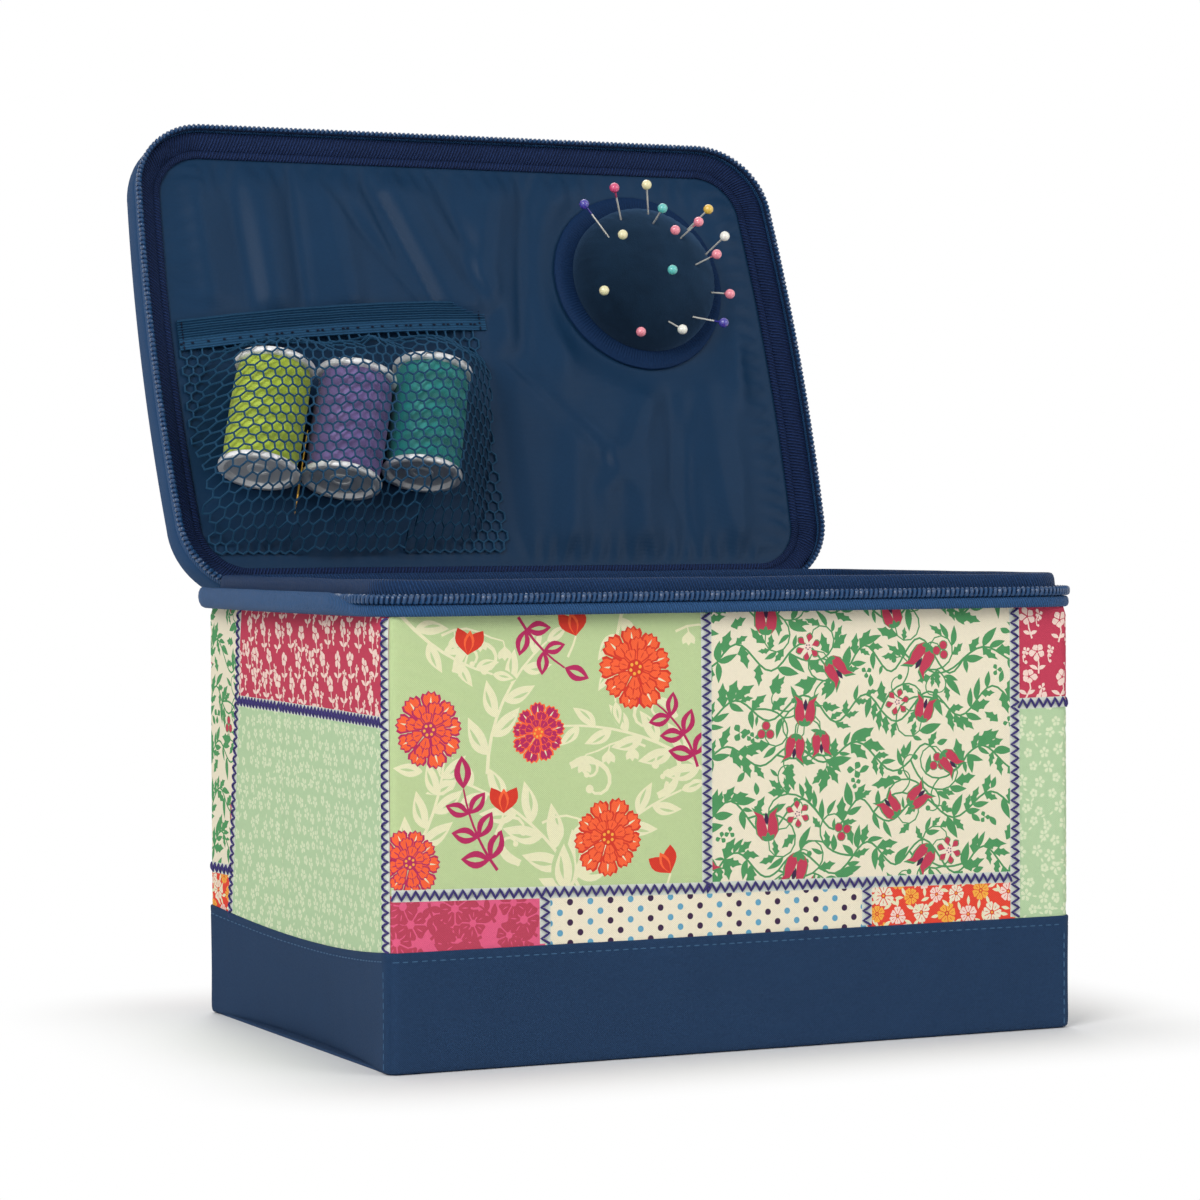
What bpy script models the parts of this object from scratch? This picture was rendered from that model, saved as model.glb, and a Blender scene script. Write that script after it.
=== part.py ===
"""Soft-sided sewing box with a zipped, fabric-hinged lid, modelled at real size in metres.

The box stands on the floor plane with its front towards -Y. Its lid is open, as it stands in use.
Every lid piece is modelled closed, in the frame of an empty on the hinge line, and turned with it.
"""

import math

import bmesh
import bpy
from mathutils import Matrix, Vector

# Box walls
LENGTH = 0.260
WIDTH = 0.179
PRINT_TOP = 0.150
CORNER_RADIUS = 0.004
END_BOW = 0.0055
BAND_HEIGHT = 0.040
BAND_END_DIP = 0.0035
FIT = 0.0003
CLOTH = 0.001
LINING = 0.0008
WALL_BOARD = 0.002
BASE_BOARD = 0.0025

# Rim, zip and hinge
ZIP_OVERHANG = 0.005
ZIP_BULGE = 0.002
BODY_RIM_RADIUS = 0.022
LID_RIM_RADIUS = 0.028
HINGE_RISE = 0.007
COIL_RADIUS = 0.0013
COIL_PITCH = 0.0063
COIL_GAP = 0.0012
COIL_GROOVE_SHARE = 0.7
TAPE = 0.0012
FLANGE = 0.0008
FLANGE_REACH = 0.010
LIP_TOP = 0.162
LIP_WIDTH = 0.004
LIP_INSET = 0.0018
LIP_RADIUS = 0.016
LIP_ROUND = 0.002

# Lid
LID_OPEN_ANGLE = math.radians(110)
LID_DEPTH = 0.018
LID_PANEL = 0.0032
LID_EDGE_ROUND = 0.0024
LID_PADDING = 0.0016
LID_BOARD = 0.0022
LID_TAPE_HEIGHT = 0.003
GUSSET_BULGE = 0.0008
FACING_WIDTH = 0.0091
FACING_CLEARANCE = 0.0009

# Zip slider and pull
SLIDER_TRAVEL = 0.100
SLIDER_LENGTH = 0.0095
SLIDER_PLATE = 0.00085
SLIDER_HEIGHT = 0.0082
SLIDER_PLAY = 0.00105
WEDGE_LENGTH = 0.005
WEDGE_HEIGHT = 0.0006
BAIL_WIRE = 0.0006
BAIL_REACH = 0.0029
BAIL_SPAN = 0.0052
PULL_LENGTH = 0.024
PULL_WIDTH = 0.0052
PULL_THICKNESS = 0.001
PULL_EYE = 0.0015
PULL_SLOT_LENGTH = 0.009
PULL_SLOT_WIDTH = 0.002

# Mesh pocket with its elastic top
POCKET_LEFT = 0.0055
POCKET_WIDTH = 0.128
POCKET_BOTTOM = 0.0155
NET_PITCH = 0.0078
NET_STRAND = 0.0008
NET_CLEARANCE = 0.0011
NET_EDGE_DEPTH = 0.0012
NET_SLOPE_LEFT = 2.6
NET_SLOPE_RIGHT = 1.3
NET_SLOPE_ENDS = 1.4
NET_SLOPE_NEEDLE = 2.0
NET_END_REACH = 0.003
NET_SAG = 0.003
ELASTIC_LEFT_HEIGHT = 0.104
ELASTIC_RIGHT_HEIGHT = 0.115
ELASTIC_WIDTH = 0.0125
ELASTIC_THICKNESS = 0.0012
ELASTIC_BOW = 0.0055

# Spools of thread and the needle beside them
SPOOL_RADIUS = 0.0155
SPOOL_LENGTH = 0.046
SPOOL_RIM = 0.0026
SPOOL_CORE = 0.009
SPOOL_DISH_RADIUS = 0.0128
SPOOL_DISH_DEPTH = 0.0018
THREAD_RADIUS = 0.0143
THREAD_CROWN = 0.0003
SPOOL_MARGIN = 0.0102
SPOOL_GAP = 0.0015
# Each spool: how many steps along the row, its lift in shares of its length, and its lean
SPOOL_SHARES = {
    "lime": (0, 0.567, math.radians(16)),
    "purple": (1, 0.478, math.radians(16)),
    "teal": (2, 0.546, math.radians(14)),
}
NEEDLE_LENGTH = 0.036
NEEDLE_RADIUS = 0.0004
NEEDLE_DROP_SHARE = 0.45

# Pincushion and pins
CUSHION_SIDE_MARGIN = 0.012
CUSHION_TOP_MARGIN = 0.010
CUSHION_RADIUS = 0.0305
CUSHION_HEIGHT = 0.020
CUSHION_FULLNESS = 2.3
CUSHION_BASE_RADIUS = 0.038
CUSHION_BASE = 0.0016
PIN_OUT = 0.022
PIN_IN = 0.009
PIN_RADIUS = 0.00035
PIN_HEAD_RADIUS = 0.002
PIN_HOLE_CLEARANCE = 0.00035
# Each pin: where it enters, in shares of the cushion's radius, how it leans, in shares of its length, and its colour
PIN_SHARES = (
    (-0.63, 0.43, -0.70, 0.32, "blue"),
    (-0.39, 0.69, -0.47, 0.22, "magenta"),
    (0.02, 0.78, -0.41, 0.15, "cream"),
    (0.02, 0.60, -0.27, -0.15, "teal"),
    (0.33, 0.51, -0.44, -0.38, "pink"),
    (0.60, 0.60, -0.05, -0.05, "gold"),
    (0.38, 0.39, -0.12, -0.13, "pink"),
    (0.79, 0.23, -0.09, -0.08, "white"),
    (0.54, 0.01, -0.08, -0.23, "pink"),
    (-0.45, 0.42, -0.43, -0.38, "cream"),
    (0.14, -0.11, -0.44, -0.37, "teal"),
    (-0.78, -0.32, -0.42, -0.37, "cream"),
    (0.81, -0.30, -0.13, -0.42, "pink"),
    (0.45, -0.68, 0.12, -0.48, "blue"),
    (0.06, -0.77, -0.20, -0.51, "white"),
    (-0.30, -0.86, -0.43, -0.36, "pink"),
)

# Counts of facets
CORNER_STEPS = 5
BULGE_STEPS = 6
END_STEPS = 8
TURN_STEPS = 24
PIN_STEPS = 8
OVERRUN = 0.002

# Sizes that follow from those above
HINGE_Y = WIDTH / 2 + ZIP_OVERHANG
HINGE_Z = PRINT_TOP + HINGE_RISE
COIL_DROP = COIL_GAP / 2 + COIL_RADIUS
TAPE_EDGE = COIL_DROP + COIL_RADIUS + FIT
FLANGE_TOP = PRINT_TOP + FLANGE
WALL_TOP = PRINT_TOP - FIT
BOARD_INSET = CLOTH + FIT
LINING_INSET = BOARD_INSET + WALL_BOARD + FIT
BASE_BOARD_BOTTOM = CLOTH + FIT
BOARD_FOOT = BASE_BOARD_BOTTOM + BASE_BOARD + FIT
GUSSET_FOOT = TAPE_EDGE + LID_TAPE_HEIGHT + FIT
LID_PANEL_BOTTOM = LID_DEPTH - LID_PANEL
LID_PADDING_TOP = LID_PANEL_BOTTOM - FIT
LID_BOARD_TOP = LID_PADDING_TOP - LID_PADDING - FIT
LID_LINING_TOP = LID_BOARD_TOP - LID_BOARD - FIT
LID_LINING_BOTTOM = LID_LINING_TOP - LINING
HINGE_ROLL_RADIUS = TAPE_EDGE - FIT
FACING_EDGE = TAPE / 2 + FIT + FACING_WIDTH
HINGE_HALF_LENGTH = LENGTH / 2 + ZIP_OVERHANG - LID_RIM_RADIUS
SPOOL_DEPTH = LID_LINING_BOTTOM - FIT - SPOOL_RADIUS
POCKET_EDGE = -LENGTH / 2 + POCKET_LEFT


def clear_scene():
    for obj in list(bpy.data.objects):
        bpy.data.objects.remove(obj)


def new_collection(name):
    collection = bpy.data.collections.new(name)
    bpy.context.scene.collection.children.link(collection)
    return collection


def make_material(name, colour, roughness, metallic=0.0):
    material = bpy.data.materials.new(name)
    material.use_nodes = True
    shader = material.node_tree.nodes["Principled BSDF"]
    shader.inputs["Base Color"].default_value = (*colour, 1)
    shader.inputs["Roughness"].default_value = roughness
    shader.inputs["Metallic"].default_value = metallic
    material.diffuse_color = (*colour, 1)
    return material


clear_scene()
PARTS = new_collection("sewing_box")
CUTTERS = new_collection("cutters")

NAVY = (0.016, 0.052, 0.127)
THREAD_COLOURS = {"lime": (0.42, 0.58, 0.05), "purple": (0.22, 0.12, 0.40), "teal": (0.0, 0.25, 0.22)}
PIN_COLOURS = {
    "blue": (0.04, 0.03, 0.40),
    "magenta": (0.70, 0.06, 0.20),
    "cream": (0.80, 0.70, 0.45),
    "teal": (0.10, 0.50, 0.45),
    "pink": (0.85, 0.25, 0.30),
    "gold": (0.80, 0.50, 0.08),
    "white": (0.85, 0.83, 0.75),
}


def make_object(name, mesh, colour, roughness, metallic=0.0, parent=None):
    obj = bpy.data.objects.new(name, mesh)
    PARTS.objects.link(obj)
    mesh.materials.clear()
    mesh.materials.append(make_material(name, colour, roughness, metallic))
    obj.parent = parent
    return obj


def mesh_from(bm, name):
    bmesh.ops.recalc_face_normals(bm, faces=bm.faces)
    mesh = bpy.data.meshes.new(name)
    bm.to_mesh(mesh)
    bm.free()
    return mesh


def smooth(obj, angle=math.radians(35)):
    obj.data.shade_smooth()
    obj.data.set_sharp_from_angle(angle=angle)


def poly_curve(name, points, cyclic, dimensions="3D", radii=None):
    curve = bpy.data.curves.new(name, "CURVE")
    curve.dimensions = dimensions
    spline = curve.splines.new("POLY")
    spline.points.add(len(points) - 1)
    for place, point in zip(spline.points, points):
        place.co = (*Vector(point).to_3d(), 1)
    if radii:
        for place, radius in zip(spline.points, radii):
            place.radius = radius
    spline.use_cyclic_u = cyclic
    obj = bpy.data.objects.new(name, curve)
    CUTTERS.objects.link(obj)
    return obj


def mesh_of_curve(obj, weld=FIT / 100):
    """The closed mesh of a curve, whose own object is then removed."""
    bpy.context.view_layer.update()
    evaluated = obj.evaluated_get(bpy.context.evaluated_depsgraph_get())
    made = bpy.data.meshes.new_from_object(evaluated)
    bm = bmesh.new()
    bm.from_mesh(made)
    bmesh.ops.remove_doubles(bm, verts=bm.verts, dist=weld)
    name = obj.name
    bpy.data.objects.remove(obj)
    bpy.data.meshes.remove(made)
    return mesh_from(bm, name)


def swept_ring(name, path, profile):
    """A closed ring: the profile's first number runs outwards from the path and its second upwards."""
    section = poly_curve(name + "_section", profile, True, "2D")
    guide = poly_curve(name, path, True)
    guide.data.twist_mode = "Z_UP"
    guide.data.bevel_mode = "OBJECT"
    guide.data.bevel_object = section
    mesh = mesh_of_curve(guide)
    bpy.data.objects.remove(section)
    return mesh


def plate(name, outline, bottom, thickness):
    """A flat outline, filled and given a thickness from its bottom up."""
    guide = poly_curve(name, outline, True, "2D")
    guide.data.fill_mode = "BOTH"
    guide.data.extrude = thickness / 2
    mesh = mesh_of_curve(guide)
    mesh.transform(Matrix.Translation((0, 0, bottom + thickness / 2)))
    return mesh


def arc(centre, radius, start, end, steps):
    angles = [start + (end - start) * step / steps for step in range(steps + 1)]
    return [Vector((centre[0] + radius * math.cos(a), centre[1] + radius * math.sin(a))) for a in angles]


def rim_path(overhang, radius, centre_y=0.0):
    """Rounded outline of the zip line, anticlockwise from the middle of the back, its two ends bulging."""
    half_x = LENGTH / 2 + overhang
    half_y = WIDTH / 2 + overhang
    straight = half_y - radius
    path = [Vector((0, half_y))]
    for side in (-1, 1):
        first = math.pi / 2 if side < 0 else -math.pi / 2
        corner = (side * (half_x - radius), -side * straight)
        path += arc(corner, radius, first, first + math.pi / 2, CORNER_STEPS)
        for step in range(1, BULGE_STEPS):
            along = 1 - 2 * step / BULGE_STEPS
            bulge = ZIP_BULGE * (1 - along**2)
            path.append(Vector((side * (half_x + bulge), -side * straight * along)))
        corner = (side * (half_x - radius), side * straight)
        path += arc(corner, radius, first + math.pi / 2, first + math.pi, CORNER_STEPS)
    return [point + Vector((0, centre_y)) for point in path]


def bow(y, z):
    """How far the ends draw in at a height, most at the floor and halfway across."""
    across = min(abs(y) / (WIDTH / 2 - CORNER_RADIUS), 1)
    return END_BOW * (1 - z / PRINT_TOP) * (1 - across**2)


def wall_run(sides, inset, z, trim=0.0):
    """Points along the box's walls, anticlockwise, for the sides asked for, each from one seam to the next."""
    half_x = LENGTH / 2 - inset
    half_y = WIDTH / 2 - inset
    radius = max(CORNER_RADIUS - inset, FIT)
    turn = {"right": 0, "back": 1, "left": 2, "front": 3}
    run = []
    for side in sides:
        quarter = math.pi / 2
        facing = turn[side] * quarter
        across = turn[side] % 2 == 0
        lead = half_y - radius if across else half_x - radius
        reach = half_x - radius if across else half_y - radius
        out = Vector((math.cos(facing), math.sin(facing)))
        along = Vector((-out.y, out.x))
        gap = trim / radius
        seam = facing - quarter / 2
        start = arc(out * reach - along * lead, radius, seam + gap, facing, 2)
        end = arc(out * reach + along * lead, radius, facing, seam + quarter - gap, 2)
        between = []
        if across:
            for step in range(1, END_STEPS):
                y = lead * (2 * step / END_STEPS - 1)
                between.append(out * (reach + radius - bow(y, z)) + along * y)
        run += start + between + end
    return [Vector((point.x, point.y, z)) for point in run]


def band_top(point):
    """Height of the band's top seam, which dips along the ends."""
    if abs(point.x) < LENGTH / 2 - CORNER_RADIUS - END_BOW:
        return BAND_HEIGHT
    across = min(abs(point.y) / (WIDTH / 2 - CORNER_RADIUS), 1)
    return BAND_HEIGHT - BAND_END_DIP * (1 - across**2)


def strip(name, levels, closed, thickness):
    """A wall through rows of points from bottom to top, thickened towards the inside of the box."""
    bm = bmesh.new()
    rows = [[bm.verts.new(point) for point in level] for level in levels]
    for lower, upper in zip(rows, rows[1:]):
        for step in range(len(lower) if closed else len(lower) - 1):
            after = (step + 1) % len(lower)
            bm.faces.new((lower[step], lower[after], upper[after], upper[step]))
    mesh = bpy.data.meshes.new(name)
    bm.to_mesh(mesh)
    bm.free()
    return mesh


def thicken(obj, thickness):
    solidify = obj.modifiers.new("thickness", "SOLIDIFY")
    solidify.thickness = thickness
    solidify.offset = -1
    solidify.use_even_offset = True


def turned(name, profile, steps):
    """A profile of (radius, height) pairs, from the top down its outer side, turned about Z."""
    mesh = bpy.data.meshes.new(name)
    edges = [(step, step + 1) for step in range(len(profile) - 1)]
    mesh.from_pydata([(radius, 0, height) for radius, height in profile], edges, [])
    return mesh


def turn(obj, steps):
    screw = obj.modifiers.new("turn", "SCREW")
    screw.steps = steps
    screw.render_steps = steps
    screw.use_merge_vertices = True
    screw.merge_threshold = FIT / 100
    screw.use_smooth_shade = True


def boolean(obj, other, operation):
    cut = obj.modifiers.new(other.name, "BOOLEAN")
    cut.operation = operation
    cut.object = other


def as_cutter(name, mesh, parent=None):
    obj = bpy.data.objects.new(name, mesh)
    CUTTERS.objects.link(obj)
    obj.hide_render = True
    obj.display_type = "WIRE"
    obj.parent = parent
    return obj


def box_mesh(name, low, high):
    bm = bmesh.new()
    bmesh.ops.create_cube(bm, size=1)
    low = Vector(low)
    high = Vector(high)
    size = high - low
    bmesh.ops.scale(bm, vec=size, verts=bm.verts)
    bmesh.ops.translate(bm, vec=(low + high) / 2, verts=bm.verts)
    return mesh_from(bm, name)


def build_walls():
    """Four printed panels, the navy band below them, and the stiff boards behind them."""
    prints = {"front": (0.46, 0.58, 0.29), "back": (0.46, 0.58, 0.29), "left": (0.42, 0.60, 0.36), "right": (0.42, 0.60, 0.36)}
    for side, colour in prints.items():
        run = wall_run([side], 0, BAND_HEIGHT, FIT)
        foot = [Vector((p.x, p.y, band_top(p) + FIT)) for p in run]
        heights = [BAND_HEIGHT + (WALL_TOP - BAND_HEIGHT) * share for share in (1 / 3, 2 / 3, 1)]
        levels = [foot] + [wall_run([side], 0, z, FIT) for z in heights]
        name = side + ("_panel" if side in ("front", "back") else "_end_panel")
        thicken(make_object(name, strip(name, levels, False, CLOTH), colour, 0.85), CLOTH)
    around = ["right", "back", "left", "front"]
    crown = wall_run(around, 0, BAND_HEIGHT)
    crown = [Vector((p.x, p.y, band_top(p))) for p in crown]
    levels = [wall_run(around, 0, FIT), wall_run(around, 0, BAND_HEIGHT / 2), crown]
    thicken(make_object("base_band", strip("base_band", levels, True, CLOTH), NAVY, 0.9), CLOTH)

    card = (0.35, 0.27, 0.18)
    board_half = LENGTH / 2 - CORNER_RADIUS
    outer = WIDTH / 2 - BOARD_INSET
    for side, name in ((-1, "front_board"), (1, "back_board")):
        edges = sorted((side * outer, side * (outer - WALL_BOARD)))
        mesh = box_mesh(name, (-board_half, edges[0], BOARD_FOOT), (board_half, edges[1], WALL_TOP))
        make_object(name, mesh, card, 0.9)
    for side, name in ((-1, "left_end_board"), (1, "right_end_board")):
        levels = []
        for z in (BOARD_FOOT, (BOARD_FOOT + WALL_TOP) / 2, WALL_TOP):
            lead = WIDTH / 2 - CORNER_RADIUS
            steps = [lead * (2 * step / END_STEPS - 1) for step in range(END_STEPS + 1)]
            levels.append([Vector((side * (LENGTH / 2 - BOARD_INSET - bow(y, z)), side * y, z)) for y in steps])
        thicken(make_object(name, strip(name, levels, False, WALL_BOARD), card, 0.9), WALL_BOARD)


def build_base():
    """Navy cloth under the box, a stiff board on it, and the lining tray that stands on the board."""
    around = ["right", "back", "left", "front"]
    cloth_outline = [p.to_2d() for p in wall_run(around, BOARD_INSET, 0)]
    make_object("base_panel", plate("base_panel", cloth_outline, 0, CLOTH), NAVY, 0.9)
    board_outline = [p.to_2d() for p in wall_run(around, BOARD_INSET, BASE_BOARD_BOTTOM)]
    mesh = plate("base_board", board_outline, BASE_BOARD_BOTTOM, BASE_BOARD)
    make_object("base_board", mesh, (0.35, 0.27, 0.18), 0.9)

    bm = bmesh.new()
    rows = []
    for z in (BOARD_FOOT, (BOARD_FOOT + WALL_TOP) / 2, WALL_TOP):
        rows.append([bm.verts.new(p) for p in wall_run(around, LINING_INSET, z)])
    bm.faces.new(reversed(rows[0]))
    for lower, upper in zip(rows, rows[1:]):
        for step in range(len(lower)):
            after = (step + 1) % len(lower)
            bm.faces.new((lower[step], lower[after], upper[after], upper[step]))
    mesh = bpy.data.meshes.new("body_lining")
    bm.to_mesh(mesh)
    bm.free()
    thicken(make_object("body_lining", mesh, NAVY, 0.45), LINING)


def point_along(path, distance):
    """The point at a distance along a closed path."""
    for first, second in zip(path, path[1:] + path[:1]):
        step = (second - first).length
        if distance <= step:
            return first + (second - first) * (distance / step)
        distance -= step
    return path[0]


def coil_mesh(name, path, height):
    """One ribbed bead that runs round the rim from one end of the hinge to the other."""
    total = sum((b - a).length for a, b in zip(path, path[1:] + path[:1]))
    start = HINGE_HALF_LENGTH + FIT
    length = total - 2 * start
    count = 2 * round(length / COIL_PITCH)
    points = []
    for step in range(count + 1):
        place = point_along(path, start + length * step / count)
        points.append(Vector((place.x, place.y, height)))
    radii = [1 if step % 2 else COIL_GROOVE_SHARE for step in range(count + 1)]
    guide = poly_curve(name, points, False, radii=radii)
    guide.data.twist_mode = "Z_UP"
    guide.data.bevel_depth = COIL_RADIUS
    guide.data.bevel_resolution = 0
    guide.data.use_fill_caps = True
    return mesh_of_curve(guide)


def build_rim():
    """Zip tape with its seam flange, ribbed coil, padded lip inside it and the rolled fabric hinge."""
    path = rim_path(ZIP_OVERHANG, BODY_RIM_RADIUS)
    half = TAPE / 2
    tape = [
        (-FLANGE_REACH, PRINT_TOP),
        (half, PRINT_TOP),
        (half, HINGE_Z - TAPE_EDGE),
        (-half, HINGE_Z - TAPE_EDGE),
        (-half, FLANGE_TOP),
        (-FLANGE_REACH, FLANGE_TOP),
    ]
    make_object("body_zip_tape", swept_ring("body_zip_tape", path, tape), NAVY, 0.8)
    coil = make_object("body_zip_coil", coil_mesh("body_zip_coil", path, HINGE_Z - COIL_DROP), (0.025, 0.09, 0.19), 0.4)
    smooth(coil)

    half = LIP_WIDTH / 2
    lip = [(-half, FLANGE_TOP + FIT), (half, FLANGE_TOP + FIT)]
    lip += [(x, LIP_TOP - LIP_ROUND + y) for x, y in arc((0, 0), LIP_ROUND, 0, math.pi, 4)]
    lip_overhang = -LIP_INSET - half
    bulge_free = [p - Vector((math.copysign(lip_bulge(p), p.x), 0)) for p in rim_path(lip_overhang, LIP_RADIUS)]
    smooth(make_object("rim_lip", swept_ring("rim_lip", bulge_free, lip), NAVY, 0.45))

    bm = bmesh.new()
    bmesh.ops.create_cone(
        bm,
        cap_ends=True,
        segments=TURN_STEPS,
        radius1=HINGE_ROLL_RADIUS,
        radius2=HINGE_ROLL_RADIUS,
        depth=2 * HINGE_HALF_LENGTH - 2 * FIT,
        matrix=Matrix.Translation((0, HINGE_Y, HINGE_Z)) @ Matrix.Rotation(math.pi / 2, 4, "Y"),
    )
    smooth(make_object("hinge_binding", mesh_from(bm, "hinge_binding"), NAVY, 0.8))


def lip_bulge(point):
    """The zip line's bulge at a point, which the straight lip leaves out."""
    straight = WIDTH / 2 - LIP_INSET - LIP_WIDTH / 2 - LIP_RADIUS
    return ZIP_BULGE * max(1 - (point.y / straight) ** 2, 0)


def build_slider():
    """Slider with two plates, the wedge that parts the coils, and the bail; the pull hangs from the bail."""
    middle = LENGTH / 2 + ZIP_OVERHANG + ZIP_BULGE * 2 / 3
    holder = bpy.data.objects.new("slider_place", None)
    holder.location = (middle, SLIDER_TRAVEL / 2, HINGE_Z)
    PARTS.objects.link(holder)
    inner = COIL_RADIUS + SLIDER_PLAY
    outer = inner + SLIDER_PLATE
    half_height = SLIDER_HEIGHT / 2
    half_length = SLIDER_LENGTH / 2
    nose = half_length - WEDGE_LENGTH / 2
    outline = [
        (-half_length, half_height * 2 / 3),
        (-nose, half_height),
        (nose, half_height),
        (half_length, half_height * 2 / 3),
        (half_length, -half_height * 2 / 3),
        (nose, -half_height),
        (-nose, -half_height),
        (-half_length, -half_height * 2 / 3),
    ]
    upright = Matrix.Rotation(math.pi / 2, 4, "Z") @ Matrix.Rotation(math.pi / 2, 4, "X")
    plates = []
    for name, low in (("zip_slider", inner), ("inner_plate", -outer)):
        mesh = plate(name, outline, low, SLIDER_PLATE)
        mesh.transform(upright)
        plates.append(mesh)
    brass = (0.05, 0.10, 0.20)
    slider = make_object("zip_slider", plates[0], brass, 0.35, 0.6, holder)
    reach = (inner + outer) / 2
    low = (-reach, -WEDGE_LENGTH / 2, -WEDGE_HEIGHT / 2)
    high = (reach, WEDGE_LENGTH / 2, WEDGE_HEIGHT / 2)
    wedge = as_cutter("slider_wedge", box_mesh("slider_wedge", low, high), holder)
    boolean(slider, as_cutter("slider_inner_plate", plates[1], holder), "UNION")
    boolean(slider, wedge, "UNION")

    bar = outer + BAIL_REACH
    foot = (inner + outer) / 2
    bend = BAIL_REACH / 2
    half_span = BAIL_SPAN / 2
    route = [Vector((foot, -half_span, 0))]
    route += [Vector((x, y, 0)) for x, y in arc((bar - bend, -half_span + bend), bend, -math.pi / 2, 0, 3)]
    route += [Vector((x, y, 0)) for x, y in arc((bar - bend, half_span - bend), bend, 0, math.pi / 2, 3)]
    route.append(Vector((foot, half_span, 0)))
    guide = poly_curve("slider_bail", route, False)
    guide.data.bevel_depth = BAIL_WIRE
    guide.data.bevel_resolution = 1
    guide.data.use_fill_caps = True
    boolean(slider, as_cutter("slider_bail", mesh_of_curve(guide), holder), "UNION")

    hang = bpy.data.objects.new("pull_place", None)
    hang.parent = holder
    hang.location = (bar, 0, 0)
    PARTS.objects.link(hang)
    drop = PULL_EYE - BAIL_WIRE - FIT
    half = PULL_WIDTH / 2
    outline = arc((0, -drop), half, 0, math.pi, 8)
    outline += arc((0, half - PULL_LENGTH), half, math.pi, 2 * math.pi, 6)
    mesh = plate("zip_pull", outline, -PULL_THICKNESS / 2, PULL_THICKNESS)
    on_edge = Matrix.Rotation(math.pi / 2, 4, "X")
    mesh.transform(on_edge)
    pull = make_object("zip_pull", mesh, brass, 0.35, 0.6, hang)
    eye = plate("pull_eye", arc((0, -drop), PULL_EYE, 0, 2 * math.pi * 11 / 12, 11), -OVERRUN, 2 * OVERRUN)
    eye.transform(on_edge)
    boolean(pull, as_cutter("pull_eye", eye, hang), "DIFFERENCE")
    slot_end = half - PULL_LENGTH + PULL_SLOT_WIDTH / 2
    slot = arc((0, slot_end + PULL_SLOT_LENGTH), PULL_SLOT_WIDTH / 2, 0, math.pi, 4)
    slot += arc((0, slot_end), PULL_SLOT_WIDTH / 2, math.pi, 2 * math.pi, 4)
    slot_mesh = plate("pull_slot", slot, -OVERRUN, 2 * OVERRUN)
    slot_mesh.transform(on_edge)
    boolean(pull, as_cutter("pull_slot", slot_mesh, hang), "DIFFERENCE")


def build_lid_shell(lid):
    """Zip tape, coil, side gusset, padded top, board, lining and the facing between lining and zip."""
    path = rim_path(ZIP_OVERHANG, LID_RIM_RADIUS, -HINGE_Y)
    half = TAPE / 2
    tape_top = TAPE_EDGE + LID_TAPE_HEIGHT
    tape = [(-half, TAPE_EDGE), (half, TAPE_EDGE), (half, tape_top), (-half, tape_top)]
    make_object("lid_zip_tape", swept_ring("lid_zip_tape", path, tape), NAVY, 0.8, parent=lid)
    coil = make_object("lid_zip_coil", coil_mesh("lid_zip_coil", path, COIL_DROP), (0.025, 0.09, 0.19), 0.4, parent=lid)
    smooth(coil)

    rise = LID_PADDING_TOP - GUSSET_FOOT
    gusset = [
        (-half, GUSSET_FOOT),
        (half, GUSSET_FOOT),
        (half + GUSSET_BULGE, GUSSET_FOOT + rise / 4),
        (half + GUSSET_BULGE, LID_PADDING_TOP - rise / 4),
        (half, LID_PADDING_TOP),
        (-half, LID_PADDING_TOP),
    ]
    smooth(make_object("lid_gusset", swept_ring("lid_gusset", path, gusset), NAVY, 0.85, parent=lid))

    edge = half + GUSSET_BULGE
    outline = rim_path(ZIP_OVERHANG + edge, LID_RIM_RADIUS + edge, -HINGE_Y)[1:]
    mesh = plate("lid_panel", outline, LID_PANEL_BOTTOM, LID_PANEL)
    bm = bmesh.new()
    bm.from_mesh(mesh)
    limit = LID_DEPTH - FIT
    rim = [e for e in bm.edges if all(v.co.z > limit for v in e.verts) and len({round(f.normal.z) for f in e.link_faces}) > 1]
    bmesh.ops.bevel(bm, geom=rim, offset=LID_EDGE_ROUND, segments=3, profile=0.5, affect="EDGES")
    bm.to_mesh(mesh)
    bm.free()
    smooth(make_object("lid_panel", mesh, (0.46, 0.58, 0.29), 0.85, parent=lid))

    back = -half - FIT
    inside = rim_path(ZIP_OVERHANG + back, LID_RIM_RADIUS + back, -HINGE_Y)[1:]
    layers = (
        ("lid_padding", LID_PADDING_TOP - LID_PADDING, LID_PADDING, (0.8, 0.8, 0.78), 0.95),
        ("lid_board", LID_BOARD_TOP - LID_BOARD, LID_BOARD, (0.35, 0.27, 0.18), 0.9),
        ("lid_lining", LID_LINING_BOTTOM, LINING, NAVY, 0.45),
    )
    for name, bottom, thickness, colour, roughness in layers:
        make_object(name, plate(name, inside, bottom, thickness), colour, roughness, parent=lid)

    foot = TAPE_EDGE + FACING_CLEARANCE
    crown = LID_LINING_BOTTOM - FIT
    shares = ((1, 1), (0.9, 0.84), (0.6, 0.48), (0.25, 0.12), (0, 0), (0, 1))
    facing = [(back - FACING_WIDTH * across, foot + (crown - foot) * up) for across, up in shares]
    smooth(make_object("lid_facing", swept_ring("lid_facing", path, facing), NAVY, 0.7, parent=lid))


def spool_frame(name):
    """Middle and axis of a spool in the lid's frame."""
    order, lift, tilt = SPOOL_SHARES[name]
    across = POCKET_EDGE + SPOOL_MARGIN + SPOOL_RADIUS + order * (2 * SPOOL_RADIUS + SPOOL_GAP)
    up = POCKET_BOTTOM + SPOOL_LENGTH * (1 / 2 + lift)
    return Vector((across, -up, SPOOL_DEPTH)), Vector((math.sin(tilt), -math.cos(tilt), 0))


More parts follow.
